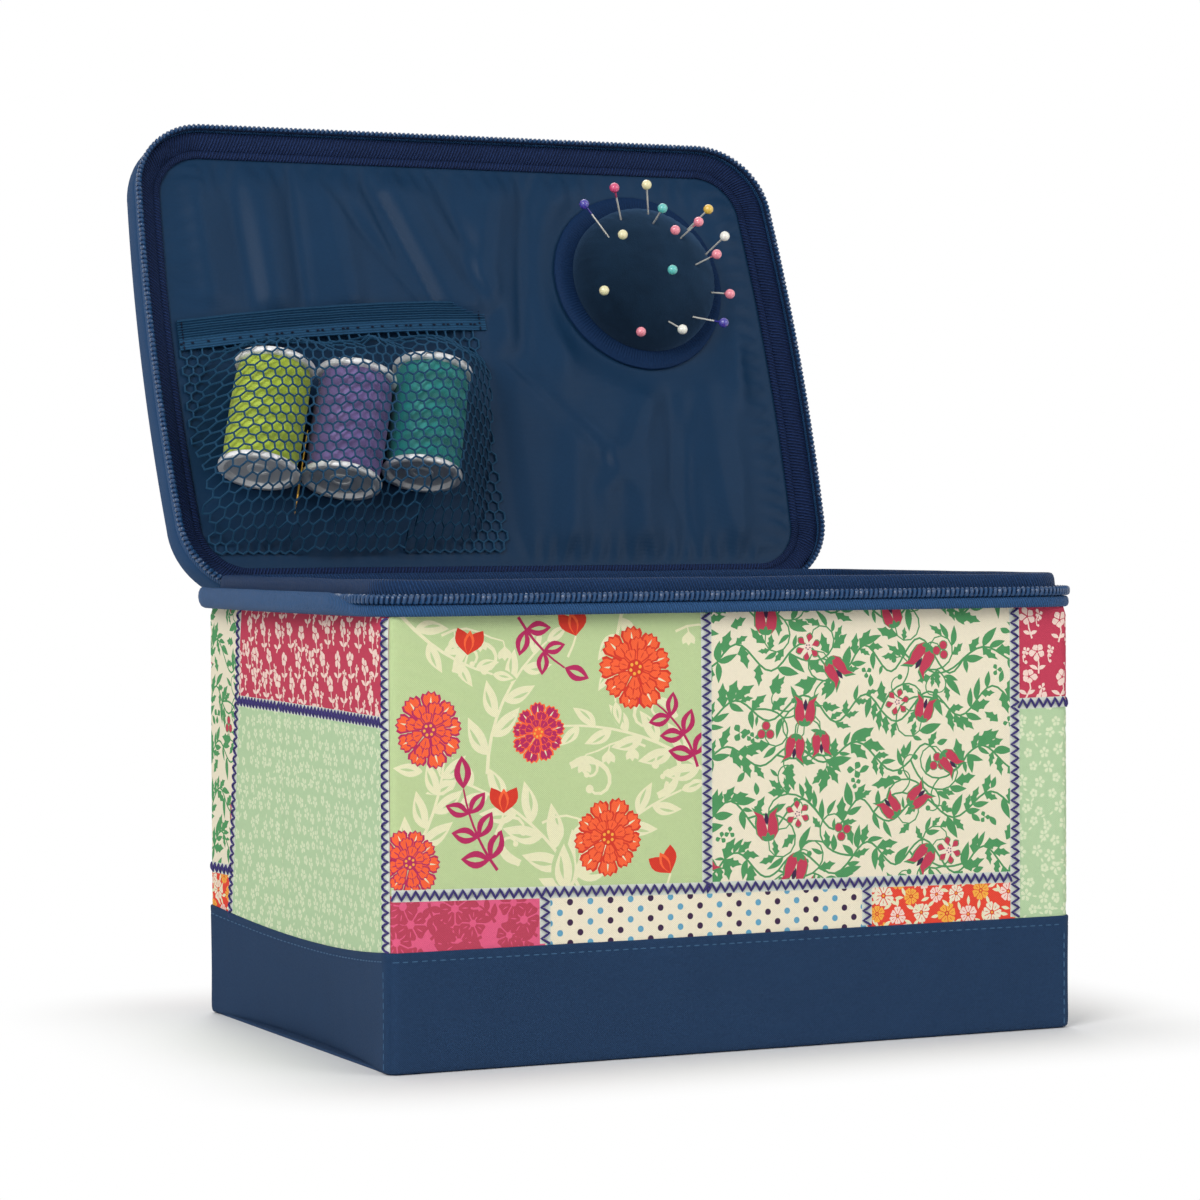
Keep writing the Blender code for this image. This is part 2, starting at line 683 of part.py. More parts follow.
def needle_frame():
    """Middle and axis of the needle, which lies in the valley between the first two spools."""
    first, axis = spool_frame("lime")
    second, _ = spool_frame("purple")
    half_gap = abs((second - first).dot(Vector((-axis.y, axis.x, 0)))) / 2
    reach = SPOOL_RADIUS + FIT + NEEDLE_RADIUS
    above = math.sqrt(max(reach**2 - half_gap**2, 0))
    middle = (first + second) / 2 - axis * SPOOL_LENGTH * NEEDLE_DROP_SHARE
    return middle - Vector((0, 0, above)), axis


def beyond_spool(place, centre, axis):
    """How far the net has come down past the end of a spool at a place on the lid."""
    along = abs((place - centre.to_2d()).dot(axis.to_2d()))
    return max(along - SPOOL_LENGTH / 2 - NET_END_REACH, 0) * NET_SLOPE_ENDS


def net_depth(across, up):
    """Depth of the stretched net below the lining: taut over the spools, then down to its edges like a tent."""
    depth = LID_LINING_BOTTOM - NET_EDGE_DEPTH
    place = Vector((across, -up))
    radius = SPOOL_RADIUS + NET_CLEARANCE
    frames = [spool_frame(name) for name in SPOOL_SHARES]
    for centre, axis in frames:
        side = Vector((-axis.y, axis.x))
        aside = (place - centre.to_2d()).dot(side)
        slope = NET_SLOPE_LEFT if aside < 0 else NET_SLOPE_RIGHT
        turn_off = radius * slope / math.hypot(1, slope)
        beyond_side = max(abs(aside) - turn_off, 0) * slope
        beyond_end = beyond_spool(place, centre, axis)
        crest = centre.z - math.sqrt(radius**2 - min(abs(aside), turn_off) ** 2)
        depth = min(depth, crest + math.hypot(beyond_side, beyond_end))
    for (first, first_axis), (second, second_axis) in zip(frames, frames[1:]):
        centre = (first + second) / 2
        axis = ((first_axis + second_axis) / 2).normalized()
        side = Vector((-axis.y, axis.x))
        half = (second - first).to_2d().dot(side) / 2
        aside = (place - centre.to_2d()).dot(side)
        if abs(aside) < half:
            sag = NET_SAG * (1 - (aside / half) ** 2)
            depth = min(depth, centre.z - radius + sag + beyond_spool(place, centre, axis))
    centre, axis = needle_frame()
    offset = Vector((across, -up, 0)) - Vector((centre.x, centre.y, 0))
    beyond_side = offset.dot(Vector((-axis.y, axis.x, 0))) * NET_SLOPE_NEEDLE
    beyond_end = max(abs(offset.dot(axis)) - NEEDLE_LENGTH / 2, 0) * NET_SLOPE_NEEDLE
    crest = centre.z - NEEDLE_RADIUS - NET_CLEARANCE
    return min(depth, crest + math.hypot(beyond_side, beyond_end))


def inside_facing(across, up, margin):
    """Whether a point of the lid lies inside the facing's rounded inner edge."""
    beyond_x = max(abs(across) - (LENGTH / 2 + ZIP_OVERHANG - LID_RIM_RADIUS), 0)
    beyond_y = max(abs(up - HINGE_Y) - (HINGE_Y - LID_RIM_RADIUS), 0)
    return math.hypot(beyond_x, beyond_y) < LID_RIM_RADIUS - FACING_EDGE - margin


def elastic_line(share):
    """Middle of the elastic at a share of its length, in the lid's frame."""
    across = POCKET_EDGE + POCKET_WIDTH * share
    up = ELASTIC_LEFT_HEIGHT + (ELASTIC_RIGHT_HEIGHT - ELASTIC_LEFT_HEIGHT) * share
    depth = LID_LINING_BOTTOM - FIT - ELASTIC_THICKNESS - ELASTIC_BOW * 4 * share * (1 - share)
    return Vector((across, -up, depth))


def build_pocket(lid):
    """Net of hexagonal gaps stretched over the spools, and the elastic that closes its top."""
    pitch = NET_PITCH
    side = pitch / math.sqrt(3)
    bm = bmesh.new()
    corners = {}

    def corner(x, y):
        key = (round(x / side * 4), round(y / side * 4))
        if key not in corners:
            corners[key] = bm.verts.new((x, -y, net_depth(x, y)))
        return corners[key]

    columns = int((POCKET_WIDTH - pitch / 2) / pitch)
    rows = round((ELASTIC_LEFT_HEIGHT - ELASTIC_WIDTH / 2 - POCKET_BOTTOM) / (side * 3 / 2))
    height = side * (rows * 3 / 2 + 1 / 2)
    turns = [math.pi / 6 + k * math.pi / 3 for k in range(6)]
    for row in range(rows):
        for column in range(columns):
            middle = pitch * (column + 1 / 2 + (row % 2) / 2)
            cell = []
            for angle in turns:
                share = (middle + side * math.cos(angle)) / POCKET_WIDTH
                x = POCKET_EDGE + POCKET_WIDTH * share
                roof = -elastic_line(share).y - ELASTIC_WIDTH / 2 - NET_STRAND
                up_share = (side * (1 + row * 3 / 2 + math.sin(angle))) / height
                cell.append((x, POCKET_BOTTOM + (roof - POCKET_BOTTOM) * up_share))
            if all(inside_facing(x, y, NET_STRAND) for x, y in cell):
                bm.faces.new([corner(x, y) for x, y in cell])
    net = make_object("mesh_pocket", mesh_from(bm, "mesh_pocket"), (0.02, 0.06, 0.12), 0.6, parent=lid)
    wire = net.modifiers.new("strands", "WIREFRAME")
    wire.thickness = NET_STRAND
    wire.use_even_offset = False
    wire.use_boundary = True

    steps = END_STEPS
    levels = []
    for edge in (-1, 1):
        levels.append([elastic_line(step / steps) + Vector((0, -edge * ELASTIC_WIDTH / 2, 0)) for step in range(steps + 1)])
    elastic = make_object("pocket_elastic", strip("pocket_elastic", levels, False, ELASTIC_THICKNESS), NAVY, 0.7, parent=lid)
    thicken(elastic, ELASTIC_THICKNESS)


def build_spools(lid):
    """Three plastic spools with their windings, and a needle that lies between two of them."""
    half = SPOOL_LENGTH / 2
    floor = half - SPOOL_RIM
    wall = (SPOOL_RADIUS - SPOOL_DISH_RADIUS) / 3
    upper = [(0, half - SPOOL_DISH_DEPTH), (SPOOL_DISH_RADIUS, half - SPOOL_DISH_DEPTH), (SPOOL_DISH_RADIUS, half - wall)]
    upper += [(SPOOL_DISH_RADIUS + wall, half), (SPOOL_RADIUS - wall, half), (SPOOL_RADIUS, half - wall), (SPOOL_RADIUS, floor)]
    upper.append((SPOOL_CORE, floor))
    reel = upper + [(radius, -height) for radius, height in reversed(upper)]
    rest = floor - FIT
    hub = SPOOL_CORE + FIT
    winding = [(hub, rest), (THREAD_RADIUS - THREAD_CROWN * 2, rest), (THREAD_RADIUS - THREAD_CROWN, rest * 0.93)]
    winding += [(THREAD_RADIUS, 0)]
    winding += [(radius, -height) for radius, height in reversed(winding[:3])]
    winding.append(winding[0])
    for name in SPOOL_SHARES:
        centre, axis = spool_frame(name)
        rotation = axis.to_track_quat("Z", "Y").to_euler()
        spool = make_object(name + "_spool", turned(name + "_spool", reel, TURN_STEPS), (0.85, 0.85, 0.85), 0.35, parent=lid)
        thread = make_object(name + "_thread", turned(name + "_thread", winding, TURN_STEPS), THREAD_COLOURS[name], 0.6, parent=lid)
        for obj in (spool, thread):
            obj.location = centre
            obj.rotation_euler = rotation
            turn(obj, TURN_STEPS)

    place, axis = needle_frame()
    eye = NEEDLE_LENGTH / 2
    blunt = NEEDLE_RADIUS * 0.6
    profile = [(0, eye), (blunt, eye - NEEDLE_RADIUS), (NEEDLE_RADIUS, eye - 4 * NEEDLE_RADIUS), (NEEDLE_RADIUS, -eye / 2), (0, -eye)]
    needle = make_object("needle", turned("needle", profile, PIN_STEPS), (0.75, 0.55, 0.18), 0.25, 1.0, lid)
    needle.location = place
    needle.rotation_euler = axis.to_track_quat("Z", "Y").to_euler()
    turn(needle, PIN_STEPS)


def crown(share):
    """Height of the cushion over its base at a share of its radius, as a fuller shape than a sphere's."""
    return CUSHION_HEIGHT * (1 - share**CUSHION_FULLNESS) ** (1 / CUSHION_FULLNESS)


def build_pincushion(lid):
    """Stitched round base, domed cushion with the pins' holes, and sixteen ball-headed pins."""
    across = LENGTH / 2 + ZIP_OVERHANG - FACING_EDGE - CUSHION_SIDE_MARGIN - CUSHION_BASE_RADIUS
    up = 2 * HINGE_Y - FACING_EDGE - CUSHION_TOP_MARGIN - CUSHION_BASE_RADIUS
    upside = math.pi
    base_top = LID_LINING_BOTTOM - FIT
    edge = CUSHION_BASE / 4
    profile = [(0, CUSHION_BASE), (CUSHION_BASE_RADIUS - edge, CUSHION_BASE), (CUSHION_BASE_RADIUS, CUSHION_BASE - edge)]
    profile += [(CUSHION_BASE_RADIUS, edge), (CUSHION_BASE_RADIUS - edge, 0), (0, 0)]
    base = make_object("pincushion_base", turned("pincushion_base", profile, TURN_STEPS), NAVY, 0.8, parent=lid)
    base.location = (across, -up, base_top)
    base.rotation_euler = (upside, 0, 0)
    turn(base, TURN_STEPS)

    seat = Vector((across, -up, base_top - CUSHION_BASE - FIT))
    angles = [math.pi / 2 * step / 8 for step in range(9)]
    shares = [math.sin(a) ** (2 / CUSHION_FULLNESS) for a in angles]
    profile = [(CUSHION_RADIUS * share, crown(share)) for share in shares]
    profile.append((0, 0))
    cushion = make_object("pincushion", turned("pincushion", profile, TURN_STEPS), (0.006, 0.02, 0.05), 0.95, parent=lid)
    cushion.location = seat
    cushion.rotation_euler = (upside, 0, 0)
    turn(cushion, TURN_STEPS)

    head = [PIN_HEAD_RADIUS * math.sin(a) for a in (math.pi * step / 6 for step in range(6))]
    heights = [PIN_HEAD_RADIUS * math.cos(a) for a in (math.pi * step / 6 for step in range(6))]
    pin = [(radius, PIN_OUT + height) for radius, height in zip(head, heights)]
    pin += [(PIN_RADIUS, PIN_OUT - PIN_HEAD_RADIUS), (PIN_RADIUS, -PIN_IN + 4 * PIN_RADIUS), (0, -PIN_IN)]
    pin_mesh = turned("pin", pin, PIN_STEPS)
    for number, (x, y, lean_x, lean_y, colour) in enumerate(PIN_SHARES, 1):
        rise = math.sqrt(1 - lean_x**2 - lean_y**2)
        aim = Vector((lean_x, -lean_y, -rise))
        entry = seat + Vector((CUSHION_RADIUS * x, -CUSHION_RADIUS * y, -crown(math.hypot(x, y))))
        rotation = aim.to_track_quat("Z", "Y").to_euler()
        name = f"pin_{number:02d}"
        obj = make_object(name, pin_mesh.copy(), PIN_COLOURS[colour], 0.3, parent=lid)
        obj.location = entry
        obj.rotation_euler = rotation
        turn(obj, PIN_STEPS)
        bm = bmesh.new()
        radius = PIN_RADIUS + PIN_HOLE_CLEARANCE
        low = -PIN_IN - FIT
        high = OVERRUN
        bmesh.ops.create_cone(
            bm,
            cap_ends=True,
            segments=6,
            radius1=radius,
            radius2=radius,
            depth=high - low,
            matrix=Matrix.Translation((0, 0, (high + low) / 2)),
        )
        hole = as_cutter(name + "_hole", mesh_from(bm, name + "_hole"), lid)
        hole.location = entry
        hole.rotation_euler = rotation
        boolean(cushion, hole, "DIFFERENCE")


def build_lid():
    lid = bpy.data.objects.new("lid_hinge_line", None)
    lid.location = (0, HINGE_Y, HINGE_Z)
    lid.rotation_euler = (-LID_OPEN_ANGLE, 0, 0)
    PARTS.objects.link(lid)
    build_lid_shell(lid)
    build_pocket(lid)
    build_spools(lid)
    build_pincushion(lid)


build_walls()
build_base()
build_rim()
build_slider()
build_lid()
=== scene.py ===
"""Looks of the soft-sided patchwork sewing box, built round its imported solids.

Lengths are in metres. Places on a cloth panel are in millimetres, as (across, up) on that panel.
Every lid piece is made in the closed lid's frame on the hinge line, and turned open with it.
"""

import bisect
import math
import random

import bmesh
import bpy
import numpy as np
from mathutils import Matrix, Vector, noise
from mathutils.geometry import delaunay_2d_cdt


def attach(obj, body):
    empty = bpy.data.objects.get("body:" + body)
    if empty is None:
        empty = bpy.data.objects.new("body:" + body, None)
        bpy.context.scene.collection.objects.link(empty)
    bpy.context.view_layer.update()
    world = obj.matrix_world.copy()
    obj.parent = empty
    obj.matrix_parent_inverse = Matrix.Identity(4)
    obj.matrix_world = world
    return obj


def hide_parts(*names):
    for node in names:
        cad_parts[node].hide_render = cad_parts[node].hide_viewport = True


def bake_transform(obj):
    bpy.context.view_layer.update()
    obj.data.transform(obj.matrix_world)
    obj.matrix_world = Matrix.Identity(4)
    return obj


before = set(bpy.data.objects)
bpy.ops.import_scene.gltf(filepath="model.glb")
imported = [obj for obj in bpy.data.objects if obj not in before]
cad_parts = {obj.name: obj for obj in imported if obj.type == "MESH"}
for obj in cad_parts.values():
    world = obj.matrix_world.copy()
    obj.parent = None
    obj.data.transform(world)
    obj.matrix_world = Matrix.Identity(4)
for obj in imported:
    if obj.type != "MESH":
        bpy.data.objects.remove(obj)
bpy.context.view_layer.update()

MM = 0.001

# Box walls, rim and hinge, as in the solids
LENGTH = 0.260
WIDTH = 0.179
PRINT_TOP = 0.150
CORNER_RADIUS = 0.004
END_BOW = 0.0055
BAND_HEIGHT = 0.040
BAND_END_DIP = 0.0045
FIT = 0.0003
CLOTH = 0.001
LINING = 0.0008
LINING_INSET = 0.0036
ZIP_OVERHANG = 0.005
ZIP_BULGE = 0.002
BODY_RIM_RADIUS = 0.022
LID_RIM_RADIUS = 0.028
HINGE_Y = 0.0945
HINGE_Z = 0.157
HINGE_HALF_LENGTH = 0.107
HINGE_ROLL_RADIUS = 0.0032
COIL_DROP = 0.0019
FLANGE_TOP = 0.1508
LIP_TOP = 0.162
LIP_INSET = 0.0018
LIP_WIDTH = 0.004
LIP_RADIUS = 0.016
LIP_LEAN = 0.0018

# Lid, as in the solids
LID_OPEN_ANGLE = math.radians(110)
LID_DEPTH = 0.018
GUSSET_FOOT = 0.0068
LID_LINING_BOTTOM = 0.0093
FACING_EDGE = 0.010
LID = Matrix.Translation((0, HINGE_Y, HINGE_Z)) @ Matrix.Rotation(-LID_OPEN_ANGLE, 4, "X")

# Pocket, spools and needle, as in the solids
POCKET_EDGE = -0.1245
POCKET_WIDTH = 0.128
POCKET_BOTTOM = 0.0155
NET_CLEARANCE = 0.0011
NET_EDGE_DEPTH = 0.0012
NET_SLOPE_LEFT = 2.6
NET_SLOPE_RIGHT = 1.3
NET_SLOPE_ENDS = 1.4
NET_SLOPE_NEEDLE = 2.0
NET_END_REACH = 0.003
NET_SAG = 0.003
ELASTIC_LEFT_HEIGHT = 0.104
ELASTIC_RIGHT_HEIGHT = 0.115
ELASTIC_WIDTH = 0.0125
ELASTIC_THICKNESS = 0.0012
ELASTIC_BOW = 0.0055
SPOOL_RADIUS = 0.0155
SPOOL_LENGTH = 0.046
SPOOL_RIM = 0.0026
SPOOL_CORE = 0.009
SPOOL_DEPTH = -0.0065
THREAD_RADIUS = 0.0143
SPOOLS = {
    "lime": (-0.0988, 0.0646, math.radians(16)),
    "purple": (-0.0663, 0.0605, math.radians(16)),
    "teal": (-0.0338, 0.0636, math.radians(14)),
}
NEEDLE_LENGTH = 0.036
NEEDLE_RADIUS = 0.0004
NEEDLE_DROP_SHARE = 0.45

# Pincushion, as in the solids
CUSHION_X = 0.075
CUSHION_UP = 0.131
CUSHION_RADIUS = 0.0305
CUSHION_HEIGHT = 0.020
CUSHION_FULLNESS = 2.3
CUSHION_BASE = 0.0016
PIN_OUT = 0.022
PIN_IN = 0.009
PIN_RADIUS = 0.00035
PIN_HEAD_RADIUS = 0.002
PINS = (
    (-0.63, 0.43, -0.70, 0.32, "blue"),
    (-0.39, 0.69, -0.47, 0.22, "magenta"),
    (0.02, 0.78, -0.41, 0.15, "cream"),
    (0.02, 0.60, -0.27, -0.15, "teal"),
    (0.33, 0.51, -0.44, -0.38, "pink"),
    (0.60, 0.60, -0.05, -0.05, "gold"),
    (0.38, 0.39, -0.12, -0.13, "pink"),
    (0.79, 0.23, -0.09, -0.08, "white"),
    (0.54, 0.01, -0.08, -0.23, "pink"),
    (-0.45, 0.42, -0.43, -0.38, "cream"),
    (0.14, -0.11, -0.44, -0.37, "teal"),
    (-0.78, -0.32, -0.42, -0.37, "cream"),
    (0.81, -0.30, -0.13, -0.42, "pink"),
    (0.45, -0.68, 0.12, -0.48, "blue"),
    (0.06, -0.77, -0.20, -0.51, "white"),
    (-0.30, -0.86, -0.43, -0.36, "pink"),
)

# Looks only: thread, teeth, net and folds
TOOTH_PITCH = 0.0019
TOOTH_WIRE = 0.00075
TOOTH_RISE = 0.00102
TOOTH_OUT = 0.00034
NET_PITCH = 0.0042
NET_STRAND = 0.0008
ZIGZAG_STEP = 1.65
ZIGZAG_REACH = 1.5
STRIPE_REACH = 1.95
THREAD = 0.00042
ROLL_START = -0.079
ROLL_FULL = -0.056
FIRST_SEED = 11
LID_SEED = 77
SHARP_ANGLE = math.radians(50)


def rgb(red, green, blue):
    """Linear colour of an sRGB one."""
    shares = [value / 255 for value in (red, green, blue)]
    return tuple(s / 12.92 if s <= 0.04045 else ((s + 0.055) / 1.055) ** 2.4 for s in shares)


# ---------------------------------------------------------------- materials


class Value:
    """An output of a shader's node, for sums and products."""

    def __init__(self, shader, socket):
        self.shader = shader
        self.socket = socket

    def __add__(self, other):
        return self.shader.math("ADD", self, other)

    def __sub__(self, other):
        return self.shader.math("SUBTRACT", self, other)

    def __mul__(self, other):
        return self.shader.math("MULTIPLY", self, other)


class Shader:
    """A material with a few helpers for its nodes. Cloth patterns run in millimetres of the UV map."""

    def __init__(self, name, colour, roughness, metallic=0.0, **sockets):
        self.material = bpy.data.materials.new(name)
        self.material.use_nodes = True
        self.tree = self.material.node_tree
        self.surface = self.tree.nodes["Principled BSDF"]
        self.material.diffuse_color = (*colour, 1)
        self.surface.inputs["Base Color"].default_value = (*colour, 1)
        self.surface.inputs["Roughness"].default_value = roughness
        self.surface.inputs["Metallic"].default_value = metallic
        for socket, value in sockets.items():
            self.surface.inputs[socket.replace("_", " ")].default_value = value

    def put(self, target, value):
        if isinstance(value, Value):
            self.tree.links.new(value.socket, target)
        else:
            target.default_value = value

    def math(self, operation, *values):
        node = self.tree.nodes.new("ShaderNodeMath")
        node.operation = operation
        for target, value in zip(node.inputs, values):
            self.put(target, value)
        return Value(self, node.outputs[0])

    def across_up(self, mapped=True):
        """The two pattern coordinates, in millimetres."""
        if mapped:
            node = self.tree.nodes.new("ShaderNodeUVMap")
            node.uv_map = "mm"
            source = node.outputs["UV"]
        else:
            source = self.tree.nodes.new("ShaderNodeTexCoord").outputs["Object"]
        parts = self.tree.nodes.new("ShaderNodeSeparateXYZ")
        self.tree.links.new(source, parts.inputs[0])
        if mapped:
            return source, Value(self, parts.outputs[0]), Value(self, parts.outputs[1])
        x, y, z = (Value(self, output) * (1 / MM) for output in parts.outputs)
        return source, x, y + z

    def noise(self, source, scale, detail=2.0, roughness=0.5):
        node = self.tree.nodes.new("ShaderNodeTexNoise")
        node.inputs["Scale"].default_value = scale
        node.inputs["Detail"].default_value = detail
        node.inputs["Roughness"].default_value = roughness
        self.tree.links.new(source, node.inputs["Vector"])
        return Value(self, node.outputs[0])

    def wave(self, place, pitch):
        return self.math("SINE", place * (2 * math.pi / pitch))

    def shade(self, dark, light, share):
        """Base colour from dark to light by a share."""
        mix = self.tree.nodes.new("ShaderNodeMix")
        mix.data_type = "RGBA"
        mix.clamp_factor = True
        self.put(mix.inputs["Factor"], share)
        mix.inputs["A"].default_value = (*dark, 1)
        mix.inputs["B"].default_value = (*light, 1)
        self.tree.links.new(mix.outputs["Result"], self.surface.inputs["Base Color"])

    def bump(self, height, depth):
        node = self.tree.nodes.new("ShaderNodeBump")
        node.inputs["Strength"].default_value = 1.0
        node.inputs["Distance"].default_value = depth
        self.put(node.inputs["Height"], height)
        self.tree.links.new(node.outputs[0], self.surface.inputs["Normal"])


def tinted(colour, share):
    return tuple(min(c * share, 1) for c in colour)


def fabric(
    name, colour, kind="plain", pitch=0.7, contrast=0.16, depth=0.08, roughness=0.85, mottle=0.08, mapped=True,
    **sockets
):
    """Woven cloth: plain, twill, ribs across the cloth, or a satin with hardly any weave."""
    shader = Shader(name, colour, roughness, **{"Specular_IOR_Level": 0.15, **sockets})
    source, across, up = shader.across_up(mapped)
    grain = 1 if mapped else 1 / MM
    across += (shader.noise(source, 0.45 * grain) - 0.5) * (0.5 * pitch)
    if kind == "plain":
        height = shader.wave(across, pitch) * shader.wave(up, pitch)
    elif kind == "twill":
        height = shader.wave(across + up, pitch) * 0.75 + shader.wave(across - up, pitch * 0.8) * 0.25
    elif kind == "rib":
        height = shader.wave(across + up * 0.35, pitch)
    elif kind == "bars":
        height = shader.wave(up, pitch)
    else:
        height = shader.wave(up, pitch) * 0.5
    slub = shader.noise(source, 0.9 * grain, 3.0, 0.7) - 0.5
    cloud = shader.noise(source, 0.05 * grain, 2.0) - 0.5
    share = height * 0.3 + 0.5 + slub * 0.7 + cloud * (4 * mottle)
    shader.shade(tinted(colour, 1 - contrast), tinted(colour, 1 + contrast), share)
    shader.bump(height + slub * 0.8, depth * MM)
    return shader.material


def plastic(name, colour, roughness=0.25, **sockets):
    """Moulded plastic or enamel, faintly uneven."""
    shader = Shader(name, colour, roughness, **sockets)
    source, _, _ = shader.across_up(False)
    cloud = shader.noise(source, 120, 2.0)
    shader.shade(tinted(colour, 0.93), tinted(colour, 1.05), cloud)
    shader.bump(shader.noise(source, 900, 2.0), 0.00002)
    return shader.material


def metal(name, colour, roughness):
    """Polished or enamelled metal with fine lines and rubbed roughness."""
    shader = Shader(name, colour, roughness, 1.0)
    source, _, _ = shader.across_up(False)
    rub = shader.noise(source, 700, 4.0, 0.7)
    shader.shade(tinted(colour, 0.85), tinted(colour, 1.12), rub)
    shader.put(shader.surface.inputs["Roughness"], rub * (roughness * 0.6) + roughness * 0.7)
    shader.bump(rub, 0.00001)
    return shader.material


PRINT = {
    "sage": rgb(182, 201, 148),
    "pale": rgb(224, 221, 184),
    "mint": rgb(176, 202, 160),
    "mint_flower": rgb(212, 222, 188),
    "cream": rgb(229, 220, 196),
    "vine": rgb(78, 145, 92),
    "raspberry": rgb(188, 62, 86),
    "blossom": rgb(236, 208, 196),
    "berry": rgb(176, 44, 92),
    "orange": rgb(238, 98, 58),
    "ember": rgb(206, 58, 44),
    "red": rgb(222, 70, 54),
    "magenta": rgb(217, 92, 128),
    "wine": rgb(180, 66, 88),
    "stripe": rgb(206, 212, 202),
    "sky": rgb(98, 158, 186),
    "plum": rgb(62, 42, 70),
    "gold": rgb(236, 170, 70),
}
PRINT_CLOTH = {
    key: fabric("print_" + key, colour, contrast=0.10, depth=0.06, mottle=0.03) for key, colour in PRINT.items()
}
BAND_CLOTH = fabric("navy_twill", rgb(35, 61, 94), "twill", 0.72, 0.36, 0.14, 0.8, 0.06)
LIP_CLOTH = fabric("navy_rib", rgb(27, 57, 98), "rib", 1.1, 0.5, 0.4, 0.6, 0.05)
FACING_CLOTH = fabric("navy_facing", rgb(25, 44, 84), "rib", 1.3, 0.7, 0.5, 0.7, 0.05)
TAPE_CLOTH = fabric("navy_tape", rgb(42, 80, 124), "rib", 0.95, 0.4, 0.25, 0.55, 0.04, Specular_IOR_Level=0.15)
GUSSET_CLOTH = fabric(
    "navy_gusset", rgb(38, 70, 108), "twill", 0.6, 0.24, 0.10, 0.65, 0.05, Specular_IOR_Level=0.12
)
SATIN = fabric(
    "navy_satin_lining", rgb(21, 49, 77), "satin", 0.5, 0.16, 0.03, 0.36, 0.14, Specular_IOR_Level=0.09
)
ELASTIC = fabric("navy_elastic", rgb(29, 67, 98), "bars", 12.5 / 12, 0.5, 0.12, 0.75, 0.03)
EMBROIDERY = fabric(
    "navy_embroidery", rgb(20, 43, 76), "satin", 0.4, 0.35, 0.05, 0.5, 0.04, Specular_IOR_Level=0.05
)
NET = fabric("net_yarn", rgb(30, 70, 100), "plain", 0.3, 0.2, 0.03, 0.6, 0.1)
TOOTH = plastic("zip_teeth", rgb(24, 62, 102), 0.3, Specular_IOR_Level=0.4)
SEAM_THREAD = fabric("seam_thread", rgb(62, 54, 112), "rib", 0.35, 0.2, 0.02, 0.6, 0.05)
NAVY_THREAD = fabric("navy_thread", rgb(60, 94, 128), "rib", 0.3, 0.2, 0.02, 0.6, 0.05)
# Cord inside the zip's coil: its dark colour is painted shade between the teeth
COIL_CORE_PAINTED_SHADE = fabric("zip_core_painted_shade", rgb(14, 30, 58), "rib", 0.4, 0.3, 0.05, 0.8, 0.05)
DARK_THREAD = fabric("dark_thread", rgb(12, 22, 44), "rib", 0.3, 0.2, 0.02, 0.6, 0.05)
CARD = fabric("grey_card", rgb(150, 128, 96), "plain", 1.3, 0.12, 0.03, 0.95, 0.1, mapped=False)
WADDING = fabric("wadding", rgb(226, 226, 220), "plain", 1.0, 0.06, 0.1, 0.95, 0.1)
REEL = plastic("white_plastic", rgb(236, 236, 236), 0.28, Coat_Weight=0.2)
REEL_GREY = plastic("grey_plastic", rgb(196, 198, 202), 0.4)
STEEL = plastic("pin_steel", rgb(244, 241, 230), 0.22, Metallic=0.2)
BRASS = metal("needle_gold", rgb(222, 176, 84), 0.2)
ENAMEL = plastic("slider_enamel", rgb(40, 70, 112), 0.35, Metallic=0.3, Coat_Weight=0.4)


def velvet_with_painted_sheen():
    shader = Shader("midnight_velvet_painted_sheen", rgb(8, 18, 32), 0.95, Sheen_Weight=0.5, Sheen_Roughness=0.55)
    shader.surface.inputs["Sheen Tint"].default_value = (*rgb(92, 128, 172), 1)
    shader.surface.inputs["Specular IOR Level"].default_value = 0.1
    source, _, _ = shader.across_up(False)
    _, around, outwards = shader.across_up()
    # Painted sheen and shade: lean makes the velvet lighter on the side about 55 degrees round the dome and darker
    # on the opposite side, more so towards the dome's edge
    turn = around * (MM / CUSHION_RADIUS) - math.radians(55)
    lean = shader.math("COSINE", turn) * (outwards * (1 / 240))
    pile = shader.noise(source, 260, 3.0, 0.7)
    brushed = shader.noise(source, 45, 2.0)
    shader.shade(rgb(6, 20, 34), rgb(24, 50, 74), pile * 0.3 + brushed * 0.5 + lean)
    shader.bump(shader.noise(source, 2400, 2.0), 0.0002)
    return shader.material


def wound_thread(name, colour):
    shader = Shader(name, colour, 0.5, Sheen_Weight=0.2)
    source, _, up = shader.across_up()
    turn = shader.wave(up, 0.42)
    drift = shader.noise(source, 0.12, 3.0)
    share = turn * 0.22 + (drift * 0.7 + 0.15)
    shader.shade(tinted(colour, 0.72), tinted(colour, 1.2), share)
    shader.bump(turn, 0.00005)
    return shader.material


VELVET = velvet_with_painted_sheen()
THREADS = {
    "lime": wound_thread("lime_cotton", rgb(184, 206, 62)),
    "purple": wound_thread("purple_cotton", rgb(124, 104, 164)),
    "teal": wound_thread("teal_cotton", rgb(22, 142, 138)),
}
PEARL_COLOURS = {
    "blue": rgb(66, 62, 158),
    "magenta": rgb(214, 78, 122),
    "cream": rgb(236, 224, 176),
    "teal": rgb(96, 190, 184),
    "pink": rgb(238, 136, 152),
    "gold": rgb(226, 184, 76),
    "white": rgb(238, 234, 222),
}
PEARLS = {
    key: plastic(
        "pearl_" + key, colour, 0.18, Coat_Weight=0.5, Subsurface_Weight=0.08
    ) for key, colour in PEARL_COLOURS.items()
}


# ---------------------------------------------------------------- building pieces


